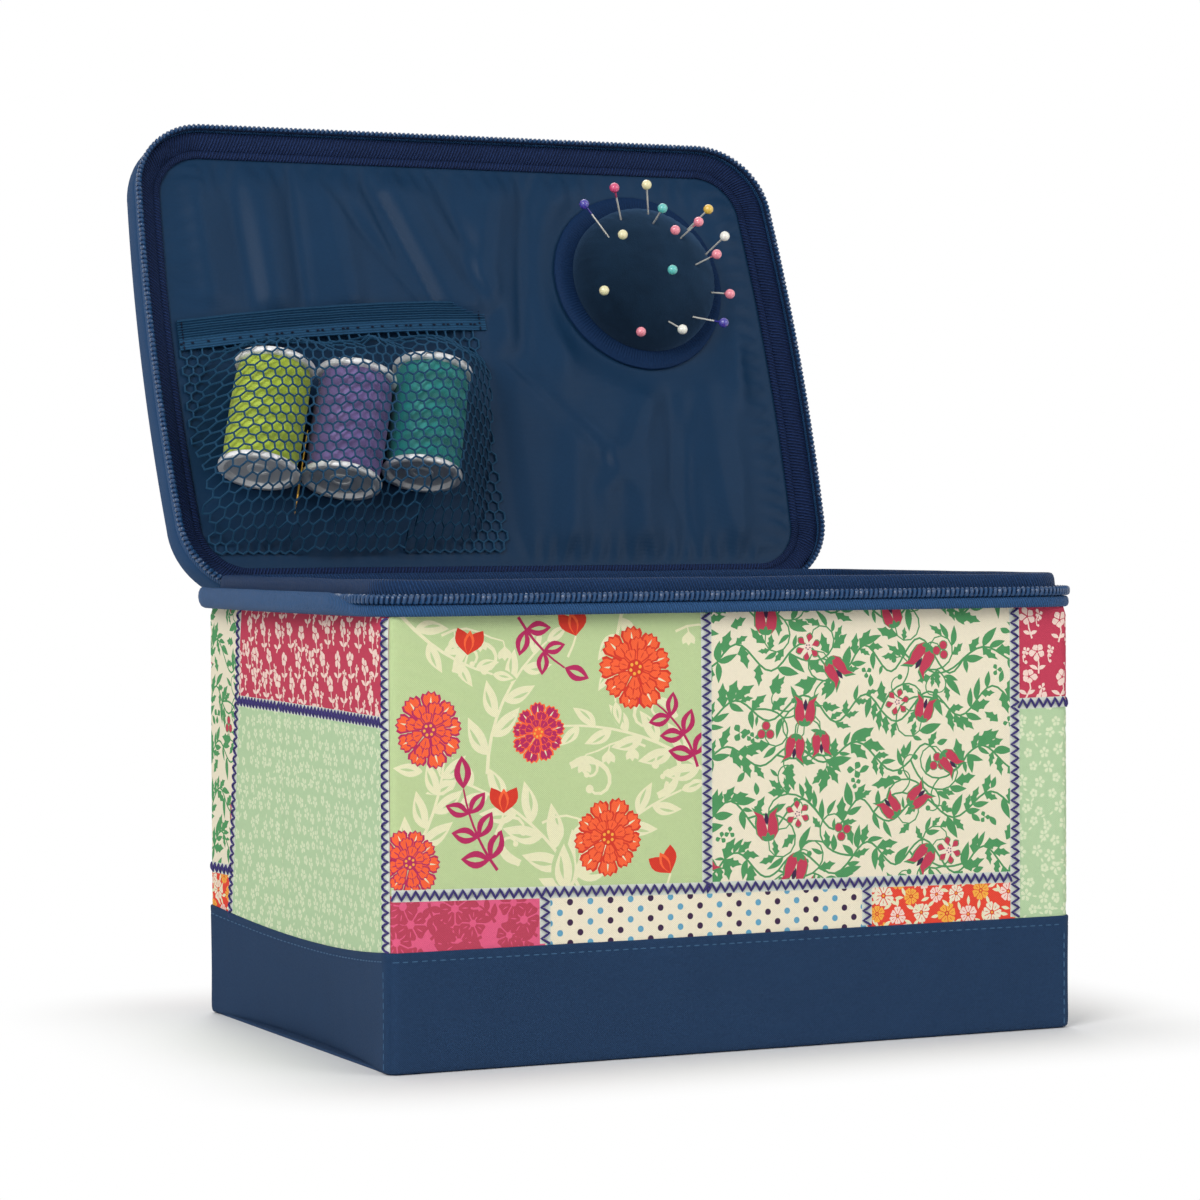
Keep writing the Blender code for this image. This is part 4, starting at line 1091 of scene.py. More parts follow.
def garden(quad, rng):
    """Large loose flowers and berry twigs over pale, lobed foliage, on sage."""
    low_x, high_x, low_y, high_y = span(quad)
    wide = high_x - low_x
    tall = high_y - low_y

    def at(share_x, share_y):
        return low_x + wide * share_x, low_y + tall * share_y

    shapes = Print()
    for x, y, angle, length, leaf, bend in (
        (0.62, -0.06, 2.0, 80, 15, 1.0), (0.52, -0.04, 1.0, 60, 14, -0.7), (0.03, 0.10, 0.9, 52, 13, 0.8),
        (1.02, 0.40, 2.5, 60, 13, 0.7), (0.30, 0.44, 1.5, 50, 13, -0.9), (0.04, 1.00, -0.8, 38, 11, 0.6),
        (0.74, 1.04, -1.9, 34, 11, 0.5),
    ):
        px, py = at(x, y)
        line = []
        leaves = Print()
        count = round(length / 6)
        for k in range(count + 1):
            line.append((px, py))
            if k:
                side = (1 if k % 2 else -1) if k < count else 0
                size = leaf * (1.15 - 0.45 * k / count)
                heading = angle + side * (0.85 + 0.1 * math.sin(2.3 * k))
                for grow, key in ((1.16, "sage"), (1.0, "pale")):
                    leaves.blade(
                        key, (size * grow, size * 0.42 * grow**2, 0.85, 9, -0.22 * side), heading, px, py
                    )
                slit = put(
                    blade(size * 0.5, size * 0.09, 1.0, 5, -0.16 * side), heading,
                    *polar(px, py, size * 0.28, heading)
                )
                leaves.append((slit, "sage"))
            px += math.cos(angle) * length / count
            py += math.sin(angle) * length / count
            angle += bend / count
        shapes += leaves + [(stem(line, 1.3, 0.7), "pale")]
    for x, y, heading, side in (
        (0.40, 0.12, 2.6, 1), (0.84, 0.34, 0.5, -1), (0.20, 0.80, 1.2, 1), (0.56, 0.46, 0.3, 1),
        (0.90, 0.62, 2.2, -1)
    ):
        place = at(x, y)
        for reach, start in ((19, 2.4), (12, 1.6)):
            tendril = curl(place[0], place[1], heading + (0.35 * side if reach < 15 else 0), reach, side)
            shapes.stem("pale", tendril, start, 0.8)
            shapes.disc("pale", tendril[-1][0], tendril[-1][1], start * 0.62, 9)
    for x, y, side in ((0.16, 0.93, 1), (0.80, 0.52, -1), (0.47, 0.26, 1), (0.90, 0.93, 1)):
        place = at(x, y)
        bough = [(place[0] + side * 4.4 * k, place[1] + 2.2 * math.sin(0.9 * k)) for k in range(6)]
        shapes.stem("pale", bough, 0.9, 0.5)
        for k, (px, py) in enumerate(bough[1:-1:2] + bough[-1:]):
            shapes.stem("pale", [(px, py), (px + 0.5 * side, py - 2.0)], 0.5, 0.5)
            for lean in (-0.45, 0.0, 0.45):
                shapes.blade("pale", (5.0, 2.2, 1.5, 5), lean - math.pi / 2, px + 0.5 * side, py - 1.6)
    for x, y, angle, length, pairs, leaf, bend in (
        (0.33, 0.10, 2.2, 30, 3, 11.0, -0.5), (0.97, 0.44, 1.9, 28, 3, 10.4, 0.7),
        (0.40, 0.99, -1.0, 24, 2, 9.6, 0.5),
    ):
        place = at(x, y)
        shapes += spray(place[0], place[1], angle, length, pairs, "berry", leaf, bend, "sage")
    for x, y, radius, keys, turn in (
        (0.77, 0.80, 14.0, ("orange", "ember", "pale", "gold"), 0.3),
        (0.12, 0.60, 12.5, ("orange", "berry", "pale", "gold"), 0.1),
        (0.68, 0.20, 13.0, ("orange", "ember", "pale", "gold"), 0.5),
        (0.46, 0.58, 10.0, ("berry", "orange", "pale", "gold"), 0.2),
        (0.06, 0.14, 11.0, ("orange", "berry", "pale", "gold"), 0.6),
    ):
        place = at(x, y)
        shapes += marigold(place[0], place[1], radius, keys, turn)
    for x, y in ((0.58, 0.92), (0.24, 0.86), (0.88, 0.06), (0.35, 0.30)):
        place = at(x, y)
        shapes.stem("pale", [(place[0] - 3, place[1] - 7), (place[0] - 1, place[1] - 3), place], 0.9, 0.7)
        shapes += tulip(place[0], place[1], 9.5, 1.2 + x, "ember", "orange")
    return shapes


MOTIFS = {
    "sage": garden,
    "cream_vine": vines,
    "raspberry": sprigs,
    "mint": mini_flowers,
    "cream_dots": dots,
    "magenta": tonal_leaves,
    "red": daisies,
}


def clipped(shape, quad):
    """A shape cut to a convex patch given anticlockwise."""
    for (ax, ay), (bx, by) in zip(quad, quad[1:] + quad[:1]):
        kept = []
        for (px, py), (qx, qy) in zip(shape, shape[1:] + shape[:1]):
            inside_p = (bx - ax) * (py - ay) - (by - ay) * (px - ax)
            inside_q = (bx - ax) * (qy - ay) - (by - ay) * (qx - ax)
            if inside_p >= 0:
                kept.append((px, py))
            if (inside_p >= 0) != (inside_q >= 0):
                share = inside_p / (inside_p - inside_q)
                kept.append((px + (qx - px) * share, py + (qy - py) * share))
        shape = kept
        if not shape:
            break
    return shape


def winding(shape, xs, ys):
    """How many times a shape winds round each point."""
    turns = np.zeros(len(xs), int)
    for (x0, y0), (x1, y1) in zip(shape, shape[1:] + shape[:1]):
        side = (x1 - x0) * (ys - y0) - (xs - x0) * (y1 - y0)
        turns += ((y0 <= ys) & (y1 > ys) & (side > 0)).astype(int)
        turns -= ((y0 > ys) & (y1 <= ys) & (side < 0)).astype(int)
    return turns


def patchwork(outline, patches, seams, spots, seed):
    """Triangles of a printed sheet with their colours. All places are in mm, and the spots let it bend."""
    rng = random.Random(seed)
    shapes = []
    for kind, quad in patches:
        ground = kind.split("_")[0]
        shapes.append((quad, ground))
        for shape, key in MOTIFS[kind](quad, rng):
            cut = clipped(shape, quad)
            if len(cut) > 2:
                shapes.append((cut, key))
    for line in seams:
        for (ax, ay), (bx, by) in zip(line, line[1:]):
            size = math.hypot(bx - ax, by - ay)
            nx, ny = -(by - ay) / size * STRIPE_REACH, (bx - ax) / size * STRIPE_REACH
            shapes.append(
                ([(ax - nx, ay - ny), (bx - nx, by - ny), (bx + nx, by + ny), (ax + nx, ay + ny)], "stripe")
            )
    points = []
    edges = []
    for shape in [outline] + [shape for shape, _ in shapes]:
        start = len(points)
        points += [Vector(p) for p in shape]
        edges += [(start + k, start + (k + 1) % len(shape)) for k in range(len(shape))]
    points += [Vector(p) for p in spots]
    made, _, triangles, _, _, _ = delaunay_2d_cdt(points, edges, [], 1, 0.01, False)
    middles = np.array([[sum(made[v][axis] for v in tri) / 3 for axis in (0, 1)] for tri in triangles])
    kept = winding(outline, middles[:, 0], middles[:, 1]) != 0
    triangles = [tri for tri, keep in zip(triangles, kept) if keep]
    middles = middles[kept]
    keys = np.zeros(len(triangles), int)
    names = sorted({key for _, key in shapes})
    for shape, key in shapes:
        low_x, high_x, low_y, high_y = span(shape)
        xs, ys = middles[:, 0], middles[:, 1]
        near = np.nonzero((xs > low_x) & (xs < high_x) & (ys > low_y) & (ys < high_y))[0]
        if len(near):
            inside = winding(shape, xs[near], ys[near]) != 0
            keys[near[inside]] = names.index(key)
    return made, triangles, keys, names


def printed_sheet(outline, patches, seams, spots, place, seed, thickness):
    """A piece with one printed sheet, placed by place(across, up, proud) from millimetres."""
    made, triangles, keys, names = patchwork(outline, patches, seams, spots, seed)
    outer = [place(p.x, p.y, 0.0) for p in made]
    inner = [place(p.x, p.y, -thickness) for p in made]
    faces = [tuple(tri) for tri in triangles]
    corners = [(made[v].x, made[v].y) for tri in triangles for v in tri]
    piece = Piece()
    piece.materials = [PRINT_CLOTH[name] for name in names]
    shell = thickened(outer, inner, faces, corners)
    key_list = [int(k) for k in keys]
    rest = len(shell[1]) - 2 * len(key_list)
    piece.add(shell, None, key_list + key_list + [0] * rest)
    return piece


def zigzag(line, place):
    """Zigzag stitching along a line of (across, up) points, each stitch dipping into the cloth at its ends."""
    spots = []
    for (ax, ay), (bx, by) in zip(line, line[1:]):
        size = math.hypot(bx - ax, by - ay)
        count = max(round(size / ZIGZAG_STEP), 2)
        nx, ny = -(by - ay) / size, (bx - ax) / size
        for k in range(count + 1):
            side = ZIGZAG_REACH * (1 if len(spots) % 2 else -1)
            spots.append((ax + (bx - ax) * k / count + nx * side, ay + (by - ay) * k / count + ny * side))
    route = []
    for (ax, ay), (bx, by) in zip(spots, spots[1:]):
        route.append(place(ax, ay, 0.00012))
        route.append(place((2 * ax + bx) / 3, (2 * ay + by) / 3, 0.0004))
        route.append(place((ax + 2 * bx) / 3, (ay + 2 * by) / 3, 0.0004))
    route.append(place(*spots[-1], 0.00012))
    return tube(route, THREAD, 6)


def running_stitch(route, length=2.4, gap=0.9, radius=0.00026):
    """Short stitches along a list of 3D points."""
    shells = []
    travelled = 0.0
    stitch = []
    period = (length + gap) * MM
    for before, after in zip(route, route[1:]):
        size = (after - before).length
        count = max(int(size / (0.4 * MM)), 1)
        for k in range(count):
            phase = (travelled + size * k / count) % period
            if phase < length * MM:
                stitch.append(before + (after - before) * k / count)
            else:
                if len(stitch) > 2:
                    shells.append(stitch)
                stitch = []
        travelled += size
    made = []
    for stitch in shells:
        middle = (len(stitch) - 1) / 2
        radii = [
            radius * (0.35 + 0.65 * (1 - abs(k - middle) / (middle + 1)) ** 0.5) for k in range(len(stitch))
        ]
        made.append(tube(stitch, radii, 5))
    return made


# ---------------------------------------------------------------- box walls

TURNS = {"right": 0, "back": 1, "left": 2, "front": 3}


def wall_point(side, across, up, proud=0.0):
    """A point on the outside of a wall, from metres along it and up it."""
    turn = TURNS[side]
    facing = turn * math.pi / 2
    out = Vector((math.cos(facing), math.sin(facing), 0))
    along = Vector((-out.y, out.x, 0))
    is_end = turn % 2 == 0
    lead = (WIDTH if is_end else LENGTH) / 2 - CORNER_RADIUS
    reach = (LENGTH if is_end else WIDTH) / 2 - CORNER_RADIUS
    rise = Vector((0, 0, up))
    if abs(across) <= lead:
        bow = END_BOW * (1 - up / PRINT_TOP) * (1 - (across / lead) ** 2) if is_end else 0
        return out * (reach + CORNER_RADIUS - bow + proud) + along * across + rise
    sign = math.copysign(1, across)
    angle = (abs(across) - lead) / CORNER_RADIUS
    way = out * math.cos(angle) + along * math.sin(angle) * sign
    return out * reach + along * lead * sign + way * (CORNER_RADIUS + proud) + rise


def seam_reach(side):
    """Half of a wall's run from corner seam to corner seam, in metres."""
    lead = (WIDTH if side in ("left", "right") else LENGTH) / 2 - CORNER_RADIUS
    return lead + CORNER_RADIUS * math.pi / 4


def crease(across, up, low, high, width):
    """A soft crease between two (across, up) points, in mm: 1 on its line."""
    share = min(max((up - low[1]) / (high[1] - low[1]), 0), 1)
    line = low[0] + (high[0] - low[0]) * share
    fade = smoothstep(low[1] - 12, low[1], up) * (1 - smoothstep(high[1], high[1] + 12, up))
    return math.exp(-(((across - line) / width) ** 2)) * fade


# Each wall's creases, as lower and upper end, width and depth, in mm
CREASES = {
    "left": (
        ((-22.7, 47), (-12.8, 138), 2.2, -0.4), ((-3, 45), (7, 130), 5.0, 0.22),
        ((-45, 50), (-38, 140), 6.0, 0.2), ((38, 46), (44, 110), 7.0, -0.15),
    ),
    "right": (((10, 47), (18, 138), 3.0, -0.3), ((-30, 50), (-24, 140), 6.0, 0.2)),
    "front": (((-60, 60), (-52, 140), 14.0, 0.16), ((40, 60), (52, 140), 16.0, -0.12)),
    "back": (((-50, 60), (-40, 140), 14.0, 0.2), ((60, 60), (52, 140), 16.0, -0.15)),
}


def relief(side, across, up):
    """How far the cloth of a wall stands proud of the flat, in mm."""
    end = seam_reach(side) / MM
    seam = math.exp(-(((end - abs(across)) / 0.7) ** 2))
    swell = 0.28 * ripple(across * 0.022, up * 0.025, TURNS[side] * 7.0)
    swell += 0.07 * ripple(across * 0.11, up * 0.10, TURNS[side] * 3.0)
    for low, high, width, depth in CREASES[side]:
        swell += depth * crease(across, up, low, high, width)
    settled = smoothstep(0, 6, end - abs(across))
    return swell * settled - 0.45 * seam


def cloth_place(side):
    def place(across, up, proud):
        top = 0.5 * smoothstep(146.5, 149.7, up)
        return wall_point(side, across * MM, up * MM, (relief(side, across, up) - top) * MM + proud)
    return place


def band_top(side, across):
    """Height of the band's top seam on a wall, in mm, across in mm."""
    if side in ("front", "back"):
        return BAND_HEIGHT / MM
    lead = (WIDTH / 2 - CORNER_RADIUS) / MM
    share = min(abs(across) / lead, 1)
    return (BAND_HEIGHT - BAND_END_DIP * (1 - share**2)) / MM


CREST = 149.7
# Each wall's patches, as (cloth, corners anticlockwise from the lower left), then the zigzag seams
WALLS = {
    "front": (
        (
            ("sage", [(-130, 58.6), (-14, 56.2), (-14, 150), (-130, 150)]),
            ("cream_vine", [(-14, 56.2), (107, 54.6), (107, 150), (-14, 150)]),
            ("raspberry", rect(107, 115.5, 130, 150)),
            ("mint", rect(107, 34, 130, 115.5)),
            ("magenta", [(-130, 34), (-74, 34), (-74, 57.4), (-130, 58.6)]),
            ("cream_dots", [(-74, 34), (47.5, 34), (47.5, 55.3), (-14, 56.2), (-74, 57.4)]),
            ("red", [(47.5, 34), (107, 34), (107, 54.6), (47.5, 55.3)]),
        ),
        (
            [(-14, 57.0), (-14, 149)],
            [(107, 40.5), (107, 149)],
            [(108.5, 115.5), (128.5, 115.8)],
            [(-128.5, 58.6), (-14, 56.2), (105.5, 54.6)],
            [(-74, 40.5), (-74, 56.0)],
            [(47.5, 40.5), (47.5, 54.0)],
        ),
    ),
    "left": (
        (
            ("cream_vine", [(-90, 54), (-68, 54), (-54.6, 150), (-90, 150)]),
            ("red", [(-90, 30), (-71, 30), (-68, 54), (-90, 54)]),
            ("raspberry", [(-59.3, 116.3), (90, 114.9), (90, 150), (-54.6, 150)]),
            ("mint", [(-71, 30), (90, 30), (90, 114.9), (-59.3, 116.3), (-68, 54)]),
        ),
        (
            [(86.6, 40), (86.6, 149)],
            [(-57.7, 116.3), (84.7, 114.9)],
            [(-70.3, 36.5), (-68, 54), (-54.6, 149)],
            [(-88, 54), (-69.5, 54)],
        ),
    ),
    "right": (
        (
            ("raspberry", rect(-90, 115.5, -66, 150)),
            ("mint", rect(-90, 30, -66, 115.5)),
            ("sage", [(-66, 57), (20, 56), (20, 150), (-66, 150)]),
            ("cream_vine", [(20, 56), (90, 55), (90, 150), (20, 150)]),
            ("cream_dots", [(-66, 30), (-6, 30), (-6, 56.3), (-66, 57)]),
            ("magenta", [(-6, 30), (44, 30), (44, 55.7), (-6, 56.3)]),
            ("red", [(44, 30), (90, 30), (90, 55), (44, 55.7)]),
        ),
        (
            [(-66, 38.5), (-66, 149)],
            [(-88, 115.5), (-67.5, 115.5)],
            [(-64.5, 57), (88, 55)],
            [(20, 57), (20, 149)],
            [(-6, 37.5), (-6, 55)],
            [(44, 38), (44, 54.5)],
        ),
    ),
    "back": (
        (
            ("cream_vine", [(-130, 57), (-38, 56.5), (-38, 150), (-130, 150)]),
            ("sage", [(-38, 56.5), (66, 55.5), (66, 150), (-38, 150)]),
            ("mint", rect(66, 96, 130, 150)),
            ("raspberry", [(66, 55.5), (130, 55), (130, 96), (66, 96)]),
            ("red", [(-130, 34), (-84, 34), (-84, 56.8), (-130, 57)]),
            ("cream_dots", [(-84, 34), (34, 34), (34, 55.8), (-84, 56.8)]),
            ("magenta", [(34, 34), (130, 34), (130, 55), (34, 55.8)]),
        ),
        (
            [(-38, 57), (-38, 149)],
            [(66, 56), (66, 149)],
            [(67.5, 96), (128.5, 96)],
            [(-128.5, 57), (128.5, 55)],
            [(-84, 40.5), (-84, 55)],
            [(34, 40.5), (34, 54)],
        ),
    ),
}


def grid_spots(low_x, high_x, low_y, high_y, step):
    count_x = round((high_x - low_x) / step)
    count_y = round((high_y - low_y) / step)
    for i in range(1, count_x):
        for j in range(1, count_y):
            yield (
                low_x + (high_x - low_x) * i / count_x + 0.13 * (j % 3),
                low_y + (high_y - low_y) * j / count_y + 0.11 * (i % 2)
            )


def build_wall(side, seed):
    end = seam_reach(side) / MM - 0.1
    place = cloth_place(side)
    steps = 60
    foot = []
    for k in range(steps + 1):
        across = -end + 2 * end * k / steps
        foot.append((across, band_top(side, across) - 1.2))
    outline = foot + [(end, up) for up in (60, 80, 100, 120, 140)] + [
        (end - 2 * end * k / steps, CREST) for k in range(steps + 1)
    ]
    outline += [(-end, up) for up in (140, 120, 100, 80, 60)]
    low = min(up for _, up in foot)
    cut = [(-end, low), (end, low), (end, CREST), (-end, CREST)]
    patches, seams = WALLS[side]
    cut_patches = []
    for kind, quad in patches:
        quad = [(min(max(x, -end), end), y) for x, y in quad]
        stretched = [(math.copysign(end, x) if abs(x) > end - 3.2 else x, min(y, CREST)) for x, y in quad]
        cut_patches.append((kind, clipped(stretched, cut)))
    spots = list(grid_spots(-end, end, low + 3, CREST, 3.4))
    # Columns of points near the corners, where the cloth turns
    for edge in (0.5, 1.1, 1.7, 2.3, 2.9, 3.6, 5.0):
        for sign in (-1, 1):
            spots += [(sign * (end - edge), low + (CREST - low) * k / 30) for k in range(3, 30)]
    piece = printed_sheet(outline, cut_patches, seams, spots, place, seed, CLOTH * 0.8)
    node, slot = (side, "print_front") if side in ("front", "back") else (side + "_end", "print_ends")
    sheet = piece.done(side + "_patchwork", "box", slot, [node + "_panel"])
    2 * end * MM
    (CREST - low) * MM
    stitches = Piece()
    for line in seams:
        stitches.add(zigzag(line, place), SEAM_THREAD)
    stitches.done(side + "_zigzag_stitching", "box", slot)


def build_band():
    """Navy twill band round the foot, with a turned edge, a row of stitches and a seam at each corner."""
    levels = (
        (0.0, 0.35, -1.1), (0.0, 0.5, -0.2), (0.0, 1.0, 0.25), (0.0, 2.2, 0.5), (0.12, 0, 0.55),
        (0.25, 0, 0.5), (0.4, 0, 0.45),
        (0.55, 0, 0.45), (0.7, 0, 0.5), (0.82, 0, 0.55), (0.9, 0, 0.6), (0.925, 0, 0.5),
        (0.95, 0, 0.62), (0.985, 0, 0.66),
        (1.0, -0.25, 0.55), (1.0, 0.0, 0.2), (1.0, 0.0, -0.15),
    )
    columns = []
    distance = 0.0
    marks = []
    for side in ("right", "back", "left", "front"):
        end = seam_reach(side) / MM
        flat = end - CORNER_RADIUS * math.pi / 4 / MM
        across = [-end, -end + 0.35, -end + 0.9, -end + 1.7, -end + 2.5]
        count = round(2 * flat / 3.0)
        across += [-flat + 2 * flat * k / count for k in range(count + 1)]
        across += [end - 2.5, end - 1.7, end - 0.9, end - 0.35]
        for place in across:
            columns.append((side, place))
            marks.append(distance + end + place)
        distance += 2 * end
    marks.append(distance)

    def band_point(side, across, share, lift, proud, inner=0.0):
        end = seam_reach(side) / MM
        up = band_top(side, across) * share + lift
        seam = 0.55 * math.exp(-(((end - abs(across)) / 0.6) ** 2)) * smoothstep(0, 2, up)
        swell = 0.45 * ripple(
            across * 0.03, up * 0.05, TURNS[side] * 5.0 + 2
        ) + 0.14 * ripple(across * 0.13, up * 0.09, TURNS[side])
        swell *= smoothstep(0, 5, up) * smoothstep(0, 8, end - abs(across))
        return wall_point(side, across * MM, up * MM, (proud + swell - seam) * MM - inner)

    outer = [[band_point(side, across, *level) for side, across in columns] for level in levels]
    ups = [share * BAND_HEIGHT / MM + lift for share, lift, _ in levels]
    points, faces, corners = lattice(outer, marks, ups, True)
    inner = [
        band_point(side, across, share, lift, -0.15, CLOTH * 0.8) for share, lift, _ in levels for side,
        across in columns
    ]
    band = Piece(
        (thickened(points, inner, faces, corners), BAND_CLOTH)
    ).done("navy_band", "box", "navy_cloth", ["base_band"])
    distance * MM

    stitches = Piece()
    for side in ("right", "back", "left", "front"):
        end = seam_reach(side) / MM
        count = round(2 * end / 2.0)
        route = []
        for k in range(count + 1):
            across = -end + 1 + (2 * end - 2) * k / count
            route.append(band_point(side, across, 0.925, 0, 0.52))
        stitches.stitch(running_stitch(route), NAVY_THREAD)
        upright = [band_point(side, end - 2.4, k / 24, 0, 0.52) for k in range(1, 22)]
        stitches.stitch(running_stitch(upright), NAVY_THREAD)
    stitches.done("navy_band_stitching", "box", "navy_cloth")


def build_base():
    """Cloth under the base, quilted slightly, with its edge turned in."""
    track, _ = loop(
        LENGTH / 2 - 0.0013, WIDTH / 2 - 0.0013, 0.0027, 0.003, lambda y, run: -END_BOW * (1 - (y / run) ** 2)
    )
    half_x, half_y = LENGTH / 2 / MM, WIDTH / 2 / MM
    spots = grid_spots(-half_x + 6, half_x - 6, -half_y, half_y, 5.0)
    spots = [p for p in spots if abs(p[1]) < half_y - 2.5 and abs(p[0]) < half_x - 8]
    made, faces, corners = filled([tuple(point / MM) for point, _, _ in track], spots)
    lift = [0.12 + 0.1 * ripple(p.x * 0.05, p.y * 0.05) for p in made]
    lift = [0.0 if (round(p.x / 5) + round(p.y / 5)) % 3 == 0 else high for p, high in zip(made, lift)]
    lower = [Vector((p.x * MM, p.y * MM, max(high, 0) * MM)) for p, high in zip(made, lift)]
    upper = [Vector((p.x * MM, p.y * MM, 0.001)) for p in made]
    cloth = Piece(
        (thickened(lower, upper, faces, corners), BAND_CLOTH)
    ).done("base_cloth", "box", "navy_cloth", ["base_panel"])


def build_body_lining():
    """Satin lining of the four walls and the floor, with soft upright folds."""
    radius = 0.006
    foot = 0.0046
    rim = 0.1494
    rows = []
    ups = []
    half_x = LENGTH / 2 - LINING_INSET - LINING
    half_y = WIDTH / 2 - LINING_INSET - LINING
    shares = [k / 18 for k in range(19)]
    track, total = loop(half_x, half_y, radius, 0.0035)

    def lining_point(point, out, distance, share, inward):
        up = foot + (rim - foot) * share
        bow = 0.0
        if abs(out.x) > 0.9:
            bow = END_BOW * (1 - up / PRINT_TOP) * (1 - min(abs(point.y) / half_y, 1) ** 2)
        calm = math.sin(math.pi * min(share + 0.06, 1)) ** 0.7
        fold = max(
            0.0, 0.7 * ripple(distance * 55, up * 9, 3.0) + 0.45 * ripple(distance * 150, up * 14, 9.0) + 0.3
        )
        corner = 1 - 0.8 * (abs(out.x * out.y) > 0.02)
        shift = bow + 0.0022 * fold * calm * corner + inward
        place = point - out * shift
        return Vector((place.x, place.y, up))

    for share in shares:
        rows.append([lining_point(point, out, distance, share, 0.0) for point, out, distance in track])
        ups.append((foot + (rim - foot) * share) / MM)
    across = [distance / MM for _, _, distance in track] + [total / MM]
    points, faces, corners = lattice(rows, across, ups, True)
    outer = [p - (Vector((p.x, p.y, 0)).normalized() * -0.0006) for p in points]
    lining = Piece(
        (thickened(points, outer, faces, corners), SATIN)
    ).done("body_lining_walls", "box", "navy_satin", ["body_lining"])

    spots = [
        p for p in grid_spots(-half_x / MM, half_x / MM, -half_y / MM, half_y / MM, 5.0)
        if abs(p[0]) < half_x / MM - END_BOW / MM - 4 and abs(p[1]) < half_y / MM - 4
    ]
    made, faces, corners = filled([(p.x / MM, p.y / MM) for p in rows[0]], spots)

    def floor_point(p):
        edge = min(half_x / MM - END_BOW / MM - abs(p.x), half_y / MM - abs(p.y))
        puff = smoothstep(0, 26, edge) * (0.9 + 0.5 * ripple(p.x * 0.03, p.y * 0.03, 5.0))
        return Vector((p.x * MM, p.y * MM, 0.0045 + (puff + 0.25) * MM))

    upper = [floor_point(p) for p in made]
    lower = [floor_point(p) for p in made]
    for p in lower:
        p.z = min(p.z - 0.0004, 0.0043)
    pad = Piece((thickened(upper, lower, faces, corners), SATIN)).done("body_lining_floor", "box", "navy_satin")


# ---------------------------------------------------------------- rim, zip and hinge


def coil_teeth(track, total, height, name, body, node):
    """The zip's coil: one wire wound from one end of the hinge to the other, upright on its outer side."""
    start = HINGE_HALF_LENGTH + 0.0012
    ends = [distance for _, _, distance in track]
    wire = []
    cord = []
    for turn in range(int((total - 2 * start) / TOOTH_PITCH)):
        for step in range(12):
            # The outer half of a turn takes a quarter of the pitch, so that it stands as a bar
            share = step / 6 * 0.25 if step < 6 else 0.25 + (step - 6) / 6 * 0.75
            distance = start + (turn + share) * TOOTH_PITCH
            angle = math.pi * (step / 6 - 0.5)
            index = max(bisect.bisect_right(ends, distance) - 1, 0)
            point, out, before = track[index]
            after, turned, _ = track[(index + 1) % len(track)]
            reach = (distance - before) / max((after - point).length, 1e-9)
            point = point + (after - point) * reach
            out = (out + (turned - out) * reach).normalized()
            bulge = math.copysign(abs(math.cos(angle)) ** 0.6, math.cos(angle))
            place = point + out * (0.0003 + TOOTH_OUT * bulge)
            wire.append(Vector((place.x, place.y, height + TOOTH_RISE * math.sin(angle))))
            if step == 0:
                cord.append(Vector((point.x, point.y, height)))
    # The cord's dark colour is painted shade in the gaps between the bars
    Piece(
        (tube(wire, TOOTH_WIRE, 6), TOOTH), (tube(cord, 0.001, 8), COIL_CORE_PAINTED_SHADE)
    ).done(name, body, "zip_coil", [node])


